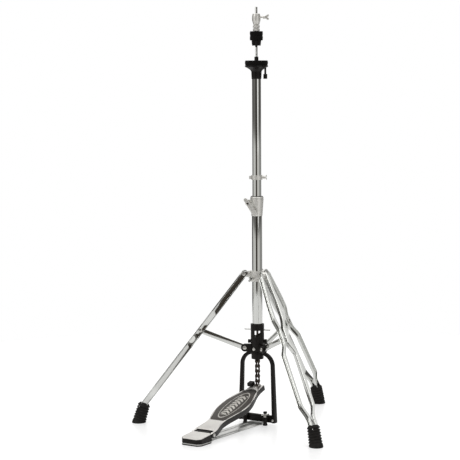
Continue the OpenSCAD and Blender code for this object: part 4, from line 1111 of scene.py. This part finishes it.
def half_width(s):
    """Half the board's width at s millimetres from the hinge: smooth steps from 30.3 at the lugs to 23.5 at the
    neck, 41 at the middle and 17 at the toe."""
    heel = 30.3 - 6.8 * ease((s - 10.5) / 41.5)
    neck = 23.5 + 17.5 * ease((s - 52) / 88)
    toe = 41 - 24 * ease((s - 140) / (TOE_S - 8 - 140))
    return np.where(s < 52, heel, np.where(s < 140, neck, toe))


class HIHAT_OT_base(Making, bpy.types.Operator):
    """The base plate and the rubber pads under it"""

    bl_idname = "hihat.base"
    bl_label = "Base plate"

    def make(self):
        rear = low("base_plate")[1]
        hinge = -HINGE_Y
        right = [(21, rear), (29, rear + 9), (29, hinge - 8), (24, hinge + 6), (24, -30), (19, 14)]
        outline = rounded(right + [(-x, y) for x, y in right[::-1]], 2.2, True, 4)
        sheet = slab(outline, low("base_plate")[2], high("base_plate")[2], bevel=0.5)
        beads = [bead(x) for x in (-12, 12)]
        piece("base_plate_sheet", [sheet] + beads, "base", "plate", ["base_plate"])
        heel = right[:3]
        outline = rounded(heel + [(-x, y) for x, y in heel[::-1]], 1.5, True, 4)
        pads = [slab(outline, 0, 3, bevel=0.5), slab(rounded_rect(36, 28, 3), 0, 3, bevel=0.5)]
        piece("rubber_pad_pair", pads, "base", "rubber", ["rubber_pads"])


def bead(x):
    """A pressed stiffening bead: a low arch of height one millimetre swept along the plate, fading at its ends."""
    start, end = PLATE_END, -16.0
    y = np.linspace(start, end, 60)
    fade = ease((y - start) / 12) * ease((end - y) / 12)
    t = np.linspace(0, np.pi, 13)
    arch = np.stack([3.4 * np.cos(t), np.sin(t)], 1)
    sections = arch[None] * np.stack([0.6 + 0.4 * fade, 1.1 * fade + 0.02], 1)[:, None]
    path = np.stack([np.full(len(y), x), y, np.full(len(y), 4.95)], 1)
    return swept(path, sections, XYZ[0], UP)


class HIHAT_OT_heel(Making, bpy.types.Operator):
    """The heel block, the plate on its slope, and the hinge pin"""

    bl_idname = "hihat.heel"
    bl_label = "Heel"

    def make(self):
        softened("heel_block", "heel_block_enamel", "base", "black_casting", 0.9)
        softened("heel_plate", "heel_plate_brushed", "base", "heel_silver", 0.35)
        axis, side = XYZ[0], XYZ[1]
        centre = -HINGE_Y * XYZ[1] + HINGE_Z * UP
        parts = [rod(3, -30.6, 30.6, axis, side, centre)]
        for way in (-1, 1):
            parts.append(dome(4.5, 2.0, way * axis, side, centre + way * 30.7 * axis))
        piece("hinge_pin_steel", parts, "base", "bright_steel", ["hinge_pin"])


def oval_point(theta, grow=0.0):
    """Points of the insert's oval: half axes times cosine and sine, about its centre on the board."""
    return np.stack([(INSET_SIZE[0] + grow) * np.cos(theta),
                     INSET_CENTRE + (INSET_SIZE[1] + grow) * np.sin(theta)], 1)


def board_outline(inward, samples=90):
    """The board's edge, moved inwards, from the middle of the toe notch round the right side, the heel and back."""
    end = TOE_S + 6
    notch, notch_s = 8.4, TOE_S - 9
    s = np.linspace(end, 10.5, samples)
    width = half_width(s)
    right = np.stack([width, s], 1)
    corner = [(0, notch_s), (notch, notch_s), (notch, end)]
    half = np.concatenate([np.array(corner), right])
    outline = np.concatenate([half, half[1:][::-1] * (-1, 1)])[::-1]
    return offset_outline(outline, inward) if inward else outline


class HIHAT_OT_footboard(Making, bpy.types.Operator):
    """The footboard: rings of points carried from the insert's recess over the top, the rounded rim and the skirt"""

    bl_idname = "hihat.footboard"
    bl_label = "Footboard"

    def make(self):
        along, square, hinge = board_axes()
        outline = board_outline(0.0)
        theta = np.arctan2((outline[:, 1] - INSET_CENTRE) / INSET_SIZE[1], outline[:, 0] / INSET_SIZE[0])
        theta = np.unwrap(theta)
        if theta[-1] < theta[0]:
            theta = -np.maximum.accumulate(-theta)
        else:
            theta = np.maximum.accumulate(theta)
        rings = []
        floor = BOARD_TOP - INSET_DEPTH
        rings.append((oval_point(theta, 0.25), floor))
        rings.append((oval_point(theta, 0.25), BOARD_TOP - 0.35))
        rings.append((oval_point(theta, 0.6), BOARD_TOP))
        rings.append((oval_point(theta, 1.6), BOARD_TOP))
        inner_edge, outer_edge = oval_point(theta, 1.6), offset_outline(outline, 1.9)
        for share in (0.35, 0.7):
            rings.append(((1 - share) * inner_edge + share * outer_edge, BOARD_TOP))
        turn = np.radians(np.linspace(0, 90, 7))
        for a in turn:
            edge = offset_outline(outline, 1.9 * (1 - math.sin(a)))
            rings.append((edge, BOARD_TOP - 1.9 * (1 - math.cos(a))))
        bottom = BOARD_TOP - SKIRT
        rings.append((outline, bottom + 0.5))
        rings.append((offset_outline(outline, 0.5), bottom))
        rings.append((offset_outline(outline, BOARD_WALL - 0.6), bottom))
        rings.append((offset_outline(outline, BOARD_WALL), bottom + 0.6))
        rings.append((offset_outline(outline, BOARD_WALL), BOARD_TOP - BOARD_WALL))
        points = np.array([hinge + ring[:, :1] * XYZ[0] + ring[:, 1:] * along + level * square
                           for ring, level in rings])
        n = len(outline)
        shell = (points.reshape(-1, 3), grid_faces(len(rings), n, False, True), end_caps(len(rings), n))
        parts = [shell] + [self.lug(way, along, square, hinge) for way in (-1, 1)]
        piece("footboard_cast", parts, "pedal", "board_casting", ["footboard"], 28)
        self.insert(along, square, hinge)
        self.toe(along, square, hinge)

    def lug(self, way, along, square, hinge):
        """A hinge ear: an arc of radius 8 about the hinge that runs straight into the board, as a rounded slab."""
        ear = arc(0, 0, 8, 118, 270, 22)
        outline = np.concatenate([ear, [(16, -7.0), (18, 5.2), (4, 5.4)]])
        inner, outer = 24.3, 30.25
        low_x, high_x = (inner, outer) if way > 0 else (-outer, -inner)
        return slab(outline, low_x, high_x, hinge, (along, square, XYZ[0]), 0.8)

    def insert(self, along, square, hinge):
        theta = np.linspace(0, 2 * np.pi, 121)[:-1]
        flat = oval_point(theta, -0.1)
        low_n, high_n = BOARD_TOP - INSET_DEPTH, BOARD_TOP - 0.2
        sheet = slab(flat, low_n, high_n, hinge, (XYZ[0], along, square), 0.35, 3)
        piece("footboard_grip_sheet", [sheet], "pedal", "inset_plastic", ["footboard_inset"])

    def toe(self, along, square, hinge):
        outline = rounded([(-23, 242.2), (-8.0, 242.2), (-8.0, 257.9), (-23, 257.9)], 2.0, True, 4)
        block = slab(outline, BOARD_TOP, BOARD_TOP + 9, hinge, (XYZ[0], along, square), 1.2, 4)
        piece("toe_clamp_block", [block], "pedal", "black_plastic", ["toe_block"])
        softened("chain_anchor", "chain_anchor_fork", "pedal", "bright_steel", 0.35)


# ---------------------------------------------------------------- chain, rod and clutch
class HIHAT_OT_chain(Making, bpy.types.Operator):
    """The roller chain: waisted plates, turned rollers and riveted pins"""

    bl_idname = "hihat.chain"
    bl_label = "Chain"

    def make(self):
        axes = (XYZ[1], UP, XYZ[0])
        plate = self.plate_outline()
        parts = []
        for i in range(CHAIN_LINKS):
            centre = (CHAIN_TOP - CHAIN_PITCH * i) * UP
            inner = 3.95 if i % 2 == 0 else 2.65
            for start in (inner, -inner - PLATE_THICK):
                parts.append(slab(plate, start, start + PLATE_THICK, centre, axes, 0.3, 2))
            parts.append(self.bar(1.8, 5.9, centre, 28))
            if i:
                parts.append(self.bar(3.85, ROLLER_HALF, centre, 36))
        last = (CHAIN_TOP - CHAIN_PITCH * CHAIN_LINKS) * UP
        parts.append(turned(ring_profile(2.35, 3.85, -ROLLER_HALF, ROLLER_HALF, 0.4), last, axes, 36))
        piece("roller_chain", parts, "chain", "dark_steel", ["chain"])

    def plate_outline(self):
        """A figure of eight: two arcs of radius 5 joined by two hollow arcs, so the waist is 3.2 from the middle."""
        upper = arc(0, 0, 5, -38, 218, 20)
        lower = arc(0, -CHAIN_PITCH, 5, 142, 398, 20)
        left = arc(-3.3 - 6.6, -CHAIN_PITCH / 2, 6.6, 22, -22, 8)[1:-1]
        right = arc(3.3 + 6.6, -CHAIN_PITCH / 2, 6.6, 202, 158, 8)[1:-1]
        return np.concatenate([upper, left, lower, right])

    def bar(self, radius, half, centre, segments):
        """A pin or a roller: a turned bar across the chain with rounded rims."""
        profile = rounded([(0, -half), (radius, -half), (radius, half), (0, half)], [0, 0.5, 0.5, 0], False, 3)
        return turned(profile, centre, (XYZ[1], UP, XYZ[0]), segments)


class HIHAT_OT_pull_rod(Making, bpy.types.Operator):
    """The pull rod, a turned bar with a small chamfer at its top"""

    bl_idname = "hihat.pull_rod"
    bl_label = "Pull rod"

    def make(self):
        top, bottom = high("pull_rod")[2], low("pull_rod")[2]
        profile = [(0, bottom), (3, bottom), (3, top - 1.1), (2.3, top), (0, top)]
        piece("pull_rod_chrome", [turned(profile, segments=48)], "pull_rod", "chrome", ["pull_rod"])


class HIHAT_OT_clutch(Making, bpy.types.Operator):
    """The clutch: a waisted body, lock nuts, two felts, the bottom nut, a threaded sleeve and its wing screw"""

    bl_idname = "hihat.clutch"
    bl_label = "Clutch"

    def make(self):
        bottom, top = low("clutch_body")[2], high("clutch_body")[2]
        radius = high("clutch_body")[0]
        t = np.linspace(0, 1, 20)
        waist = radius - 2.6 * (1 - ease(t / 0.45)) - 1.5 * ease((t - 0.62) / 0.38) ** 2
        side = np.stack([waist, bottom + 0.8 + (top - bottom - 1.6) * t], 1)
        start = [(3.1, bottom + 2), (6.05, bottom + 2), (6.05, bottom), (radius - 3.4, bottom)]
        profile = np.concatenate([start, side, [(radius - 4.6, top), (3.1, top), (3.1, bottom + 2)]])
        piece("clutch_body_chrome", [turned(profile, segments=96)], "clutch", "satin", ["clutch_body"])
        sleeve_top, sleeve_low = high("clutch_sleeve")[2], low("clutch_sleeve")[2]
        tube = self.threaded_tube(3.1, 6.0, sleeve_low, sleeve_top)
        piece("clutch_sleeve_thread", [tube], "clutch", "chrome", ["clutch_sleeve"])
        self.nuts()
        felts = [felt_ring(6.1, 16.5, *heights_and_edge) for heights_and_edge in FELT_HEIGHTS]
        piece("clutch_felt_pair", felts, "clutch", "felt", ["clutch_felts"])
        out, across = bearing(SCREW_DIR)
        centre = bottom + 29 * 0.64
        parts = wing_screw_surfaces(2.5, 3.4, 20, 14, 12, centre * UP, out, across)
        piece("clutch_wing_screw", parts, "clutch_screw", "satin", ["clutch_screw"])

    def threaded_tube(self, inner, outer, low_z, high_z):
        count = int((high_z - low_z) / 1.25 * 6)
        z = np.linspace(low_z + 0.4, high_z - 0.4, count)
        side = np.stack([np.full(count, outer - 0.02), z], 1)
        profile = np.concatenate([[(inner, low_z), (outer - 0.4, low_z)], side,
                                  [(outer - 0.4, high_z), (inner, high_z), (inner, low_z)]])

        def groove(angle, r, h):
            phase = (h / 1.25 - angle / (2 * np.pi)) % 1.0
            return np.where(r > outer - 0.1, -0.5 * np.abs(2 * phase - 1), 0)

        return turned(profile, segments=72, ripple=groove)

    def nuts(self):
        depth, count = sizes().knurl_depth / MM, sizes().knurl_count
        low_z = low("clutch_nuts")[2]
        high_z = low_z + BOTTOM_NUT_TALL
        wall = rounded([(3.2, low_z), (10.7, low_z), (12.2, high_z), (6.1, high_z), (6.1, low_z + 3), (3.2, low_z + 3)],
                       [0.3, 1.0, 0.8, 0.3, 0.3, 0.3], True, 4)
        grip = self.outer_grip(knurl(count, depth, low_z, high_z))
        bottom = turned(looped(wall), segments=144, ripple=grip)
        piece("clutch_bottom_nut", [bottom], "clutch", "black_plastic", ["clutch_nuts"])
        tops = []
        for start in LOCK_NUT_HEIGHTS:
            end = start + LOCK_NUT_TALL
            grip = self.outer_grip(knurl(count - 8, depth * 0.8, start, end))
            tops.append(turned(ring_profile(6.05, 8.5, start, end, 0.8), segments=144, ripple=grip))
        piece("clutch_lock_nuts", tops, "clutch", "satin", ["clutch_nuts"])

    def outer_grip(self, change):
        return lambda angle, r, h: np.where(r > 7.5, change(angle, r, h), 0)


# ---------------------------------------------------------------- tripod
class HIHAT_OT_leg_collar(Making, bpy.types.Operator):
    """The sliding collar, its pivot bolts and its wing screw"""

    bl_idname = "hihat.leg_collar"
    bl_label = "Leg collar"

    def make(self):
        softened("leg_collar", "leg_collar_casting", "leg_collar", "satin", 0.9)
        parts = []
        for angle in LEGS.values():
            out, side = bearing(angle)
            centre = LEG_PIVOT[0] * out + LEG_PIVOT[1] * UP
            parts.append(rod(3, -6.9, 6.9, side, out, centre))
            for way in (-1, 1):
                parts.append(dome(4.5, 2.0, way * side, out, centre + way * 6.9 * side))
        piece("leg_pivot_bolts", parts, "leg_collar", "bright_steel", ["leg_pins"])
        front = -XYZ[1]
        centre = (low("leg_collar")[2] + 9) * UP
        parts = wing_screw_surfaces(3, 13.1, 27.5, 16, 12, centre, front, XYZ[0])
        piece("leg_collar_screw", parts, "collar_screw", "chrome", ["collar_screw"])


class HIHAT_OT_legs(Making, bpy.types.Operator):
    """Three legs of two rolled channels each, with rivets and rubber boots"""

    bl_idname = "hihat.legs"
    bl_label = "Legs"

    def make(self):
        for name, angle in LEGS.items():
            body = name + "_leg"
            for letter, way in (("a", 1), ("b", -1)):
                node = f"{name}_leg_strip_{letter}"
                piece(node + "_channel", [leg_strip(angle, way)], body, "chrome", [node], 40)
            down, across = leg_axes(angle)[:2]
            centre = leg_start(angle) + WAIST * down
            heads = [dome(5, 2.0, way * across, down, centre + way * 3.75 * across) for way in (-1, 1)]
            piece(name + "_leg_rivet_heads", heads, body, "bright_steel", [name + "_leg_rivets"])
            piece(name + "_boot_ribbed", [boot(angle)], body, "rubber", [name + "_boot"], 45)


def boot(angle):
    """A leaning cone with ribs, cut level at the floor.

    The radius grows from 13.5 to 17 down the axis and gains the rib depth times a rounded square wave; rows below
    the ribs are stretched along the axis so that the last one lies at height zero."""
    out, side = bearing(angle)
    lean = math.sin(BOOT_LEAN) * out - math.cos(BOOT_LEAN) * UP
    level = math.cos(BOOT_LEAN) * out + math.sin(BOOT_LEAN) * UP
    top = BOOT_TOP[0] * out + BOOT_TOP[1] * UP
    ribs, depth = sizes().boot_ribs, sizes().rib_depth / MM
    last = 43.0
    s = np.linspace(0, 1, 150)
    height = 2.0 + (last - 2.0) * s
    wave = np.sin(2 * np.pi * ribs * s - np.pi / 2)
    radius = 13.5 + 1.6 * s + depth * (np.clip(1.5 * wave, -1, 1) * 0.5 + 0.5)
    crown = [(2.5, -1.2), (6.0, -1.3), (9.5, -0.9), (12.0, 0.0), (13.2, 1.0)]
    rows = np.concatenate([np.array([(0.0, -1.2)]), np.array(crown), np.stack([radius, height], 1),
                           [(16.4, 44.4), (17.1, 45.6), (17.3, 50.8), (16.8, 51.6), (16.0, 52.0), (0.0, 52.0)]])
    turn = np.linspace(0, 2 * np.pi, 96, endpoint=False)
    r = rows[:, :1]
    down = rows[:, 1:] + 0 * turn[None]
    foot = (BOOT_TOP[1] + r * np.cos(turn) * math.sin(BOOT_LEAN)) / math.cos(BOOT_LEAN)
    share = np.clip((down - last) / (BOOT_LENGTH - last), 0, 1)
    down = down + share * (foot - BOOT_LENGTH)
    points = (top + down[..., None] * lean + (r * np.cos(turn))[..., None] * level
              + (r * np.sin(turn))[..., None] * side)
    return points.reshape(-1, 3), grid_faces(len(rows), 96, False, True), []


class HIHAT_OT_braces(Making, bpy.types.Operator):
    """The three braces between the hub and the legs: flat bars with round ends and eased edges"""

    bl_idname = "hihat.braces"
    bl_label = "Braces"

    def make(self):
        for name, angle in LEGS.items():
            out, side = bearing(angle)
            along = math.cos(BRACE_RISE) * out + math.sin(BRACE_RISE) * UP
            square = -math.sin(BRACE_RISE) * out + math.cos(BRACE_RISE) * UP
            start = BRACE_PIVOT[0] * out + BRACE_PIVOT[1] * UP
            outline = np.concatenate([arc(0, 0, 7, 90, 270, 16), arc(BRACE_LENGTH, 0, 7, -90, 90, 16)])
            bar = slab(outline, -1.65, 1.65, start, (along, square, -side), 0.7, 4)
            piece(name + "_brace_bar", [bar], name + "_brace", "chrome", [name + "_brace"])


# ---------------------------------------------------------------- stage
class HIHAT_OT_stage(Making, bpy.types.Operator):
    """The pale floor, the soft lights, the studio's walls and the camera"""

    bl_idname = "hihat.stage"
    bl_label = "Stage"

    def make(self):
        scene = bpy.context.scene
        scene.view_settings.view_transform = "Standard"
        settings = scene.hihat_stage
        self.floor(settings)
        self.walls(settings)
        self.lights(settings)
        self.camera(settings)

    def floor(self, settings):
        mesh = bpy.data.meshes.new("floor")
        turn = np.linspace(0, 2 * np.pi, 128, endpoint=False)
        rim = FLOOR_RADIUS * np.stack([np.cos(turn), np.sin(turn), 0 * turn], 1)
        mesh.from_pydata(rim.tolist(), [], [tuple(range(len(rim)))])
        plane = bpy.data.objects.new("floor", mesh)
        bpy.context.scene.collection.objects.link(plane)
        f = Finish("pale_floor", roughness=0.35, emission_strength=settings.floor_glow)
        f.shader.inputs["Emission Color"].default_value = (1, 1, 1, 1)
        shade = tuple(c * 0.985 for c in settings.floor)
        f.feed("Base Color", f.mix(f.noise(0.004, 3) * 0.5, settings.floor, shade))
        mesh.materials.append(f.material)

    def walls(self, settings):
        """A world of upright bands by bearing: bright panels with dark gaps between them, white overhead, and a
        white background behind the object."""
        world = bpy.data.worlds.new("studio")
        bpy.context.scene.world = world
        world.use_nodes = True
        tree = world.node_tree
        tree.nodes.clear()

        def node(kind, settings=(), inputs=()):
            made = tree.nodes.new(kind)
            for label, value in dict(settings).items():
                setattr(made, label, value)
            for label, value in dict(inputs).items():
                if isinstance(value, bpy.types.NodeSocket):
                    tree.links.new(value, made.inputs[label])
                else:
                    made.inputs[label].default_value = value
            return made

        direction = node("ShaderNodeTexCoord").outputs["Generated"]
        split = node("ShaderNodeSeparateXYZ", {}, {0: direction})
        x, y, z = [Value(tree, s) for s in split.outputs]
        turn = math.radians(LIGHT_BEARING)
        right = x * -math.sin(turn) + y * math.cos(turn)
        front = x * math.cos(turn) + y * math.sin(turn)
        share = right.math("ARCTAN2", right, front) * (0.5 / math.pi) + 0.5
        ramp = tree.nodes.new("ShaderNodeValToRGB")
        ramp.color_ramp.interpolation = "EASE"
        elements = ramp.color_ramp.elements
        while len(elements) < len(WALL_BANDS):
            elements.new(0.5)
        for element, (angle, colour) in zip(elements, WALL_BANDS):
            element.position = (angle + 180) / 360
            element.color = (*colour, 1)
        tree.links.new(share.socket, ramp.inputs[0])
        towards = front.step(-0.85, -0.55)
        overhead = (z - towards * 0.5).step(0.02, 0.2)
        dim = z.step(-0.03, 0.03) * towards * 0.8
        above = node("ShaderNodeMix", {"data_type": "RGBA"},
                     {0: dim.socket, 6: ramp.outputs[0], 7: (0.045, 0.04, 0.035, 1)})
        lifted = node("ShaderNodeMix", {"data_type": "RGBA"},
                      {0: overhead.socket, 6: above.outputs[2], 7: (1.25, 1.25, 1.24, 1)})
        walls = node("ShaderNodeBackground", {}, {"Color": lifted.outputs[2], "Strength": settings.room_strength})
        back = node("ShaderNodeBackground", {}, {"Color": (1, 1, 1, 1), "Strength": 1.0})
        path = node("ShaderNodeLightPath")
        chosen = node("ShaderNodeMixShader", {},
                      {0: path.outputs["Is Camera Ray"], 1: walls.outputs[0], 2: back.outputs[0]})
        node("ShaderNodeOutputWorld", {}, {"Surface": chosen.outputs[0]})

    def lights(self, settings):
        for name, place, size, power in (
            ("key", (-1.2, -2.6, 2.4), 1.6, settings.key_power),
            ("fill", (2.6, -1.2, 1.4), 1.8, settings.key_power * 0.35),
            ("top", (0.3, 0.4, 3.2), 2.2, settings.key_power * 0.8),
        ):
            light = bpy.data.lights.new(name, "AREA")
            light.shape = "DISK"
            light.size = size
            light.energy = power
            lamp = bpy.data.objects.new(name, light)
            bpy.context.scene.collection.objects.link(lamp)
            lamp.location = place
            aim = Vector((0, -0.05, 0.35)) - Vector(place)
            lamp.rotation_mode = "QUATERNION"
            lamp.rotation_quaternion = aim.to_track_quat("-Z", "Y")

    def camera(self, settings):
        camera = bpy.data.cameras.new("camera")
        camera.sensor_width = 36
        camera.lens = settings.lens
        camera.dof.use_dof = False
        camera.clip_end = 100
        eye = bpy.data.objects.new("camera", camera)
        bpy.context.scene.collection.objects.link(eye)
        turn = math.radians(CAMERA_TURN)
        right = np.array([math.cos(turn), math.sin(turn), 0])
        ahead = np.array([-math.sin(turn), math.cos(turn), 0])
        place = -CAMERA_DISTANCE * ahead + np.array([0, 0, CAMERA_HEIGHT])
        yaw, pitch = math.radians(CAMERA_YAW), math.radians(CAMERA_PITCH)
        level = ahead * math.cos(yaw) + right * math.sin(yaw)
        look = level * math.cos(pitch) - UP * math.sin(pitch)
        eye.location = place
        eye.rotation_mode = "QUATERNION"
        turned_by = Vector(look).to_track_quat("-Z", "Y")
        eye.rotation_quaternion = turned_by @ Quaternion((0, 0, 1), math.radians(CAMERA_ROLL))
        bpy.context.scene.camera = eye


FLOOR_RADIUS = 1.5
CAMERA_TURN = 32.717
CAMERA_DISTANCE = 4.4
CAMERA_HEIGHT = 0.94588
CAMERA_PITCH = 5.859
CAMERA_YAW = -0.885
CAMERA_ROLL = -0.3
LIGHT_BEARING = -57.3
WALL_BANDS = [
    (-180, (0.20, 0.20, 0.19)),
    (-112, (0.05, 0.045, 0.04)),
    (-96, (0.85, 0.85, 0.83)),
    (-34, (0.95, 0.94, 0.92)),
    (-26, (0.06, 0.05, 0.042)),
    (2, (0.07, 0.06, 0.05)),
    (14, (0.90, 0.88, 0.85)),
    (58, (0.85, 0.84, 0.82)),
    (70, (0.42, 0.42, 0.41)),
    (180, (0.40, 0.40, 0.39)),
]


class HIHAT_PT_panel(bpy.types.Panel):
    """Lists the pieces and their settings"""

    bl_label = "Hi-hat stand"
    bl_idname = "HIHAT_PT_panel"
    bl_space_type = "VIEW_3D"
    bl_region_type = "UI"
    bl_category = "Hi-hat"

    def draw(self, context):
        for group in (context.scene.hihat_shapes, context.scene.hihat_finishes, context.scene.hihat_stage):
            box = self.layout.box()
            for name in group.__annotations__:
                box.prop(group, name)
        for operator in OPERATORS:
            self.layout.operator(operator.bl_idname)


OPERATORS = [
    HIHAT_OT_lower_tube,
    HIHAT_OT_height_clamp,
    HIHAT_OT_clamp_lever,
    HIHAT_OT_upper_tube,
    HIHAT_OT_cymbal_seat,
    HIHAT_OT_memory_lock,
    HIHAT_OT_hub,
    HIHAT_OT_spring,
    HIHAT_OT_yoke,
    HIHAT_OT_crossbar,
    HIHAT_OT_base,
    HIHAT_OT_heel,
    HIHAT_OT_footboard,
    HIHAT_OT_chain,
    HIHAT_OT_pull_rod,
    HIHAT_OT_clutch,
    HIHAT_OT_leg_collar,
    HIHAT_OT_legs,
    HIHAT_OT_braces,
    HIHAT_OT_stage,
]
GROUPS = {"hihat_shapes": HiHatShapes, "hihat_finishes": HiHatFinishes, "hihat_stage": HiHatStage}


def register():
    for group in GROUPS.values():
        bpy.utils.register_class(group)
    for name, group in GROUPS.items():
        setattr(bpy.types.Scene, name, PointerProperty(type=group))
    for part in OPERATORS + [HIHAT_PT_panel]:
        bpy.utils.register_class(part)


def unregister():
    for part in [HIHAT_PT_panel] + OPERATORS[::-1]:
        bpy.utils.unregister_class(part)
    for name, group in GROUPS.items():
        delattr(bpy.types.Scene, name)
        bpy.utils.unregister_class(group)


def main():
    register()
    for operator in OPERATORS:
        family, name = operator.bl_idname.split(".")
        getattr(getattr(bpy.ops, family), name)()


if __name__ == "__main__":
    main()
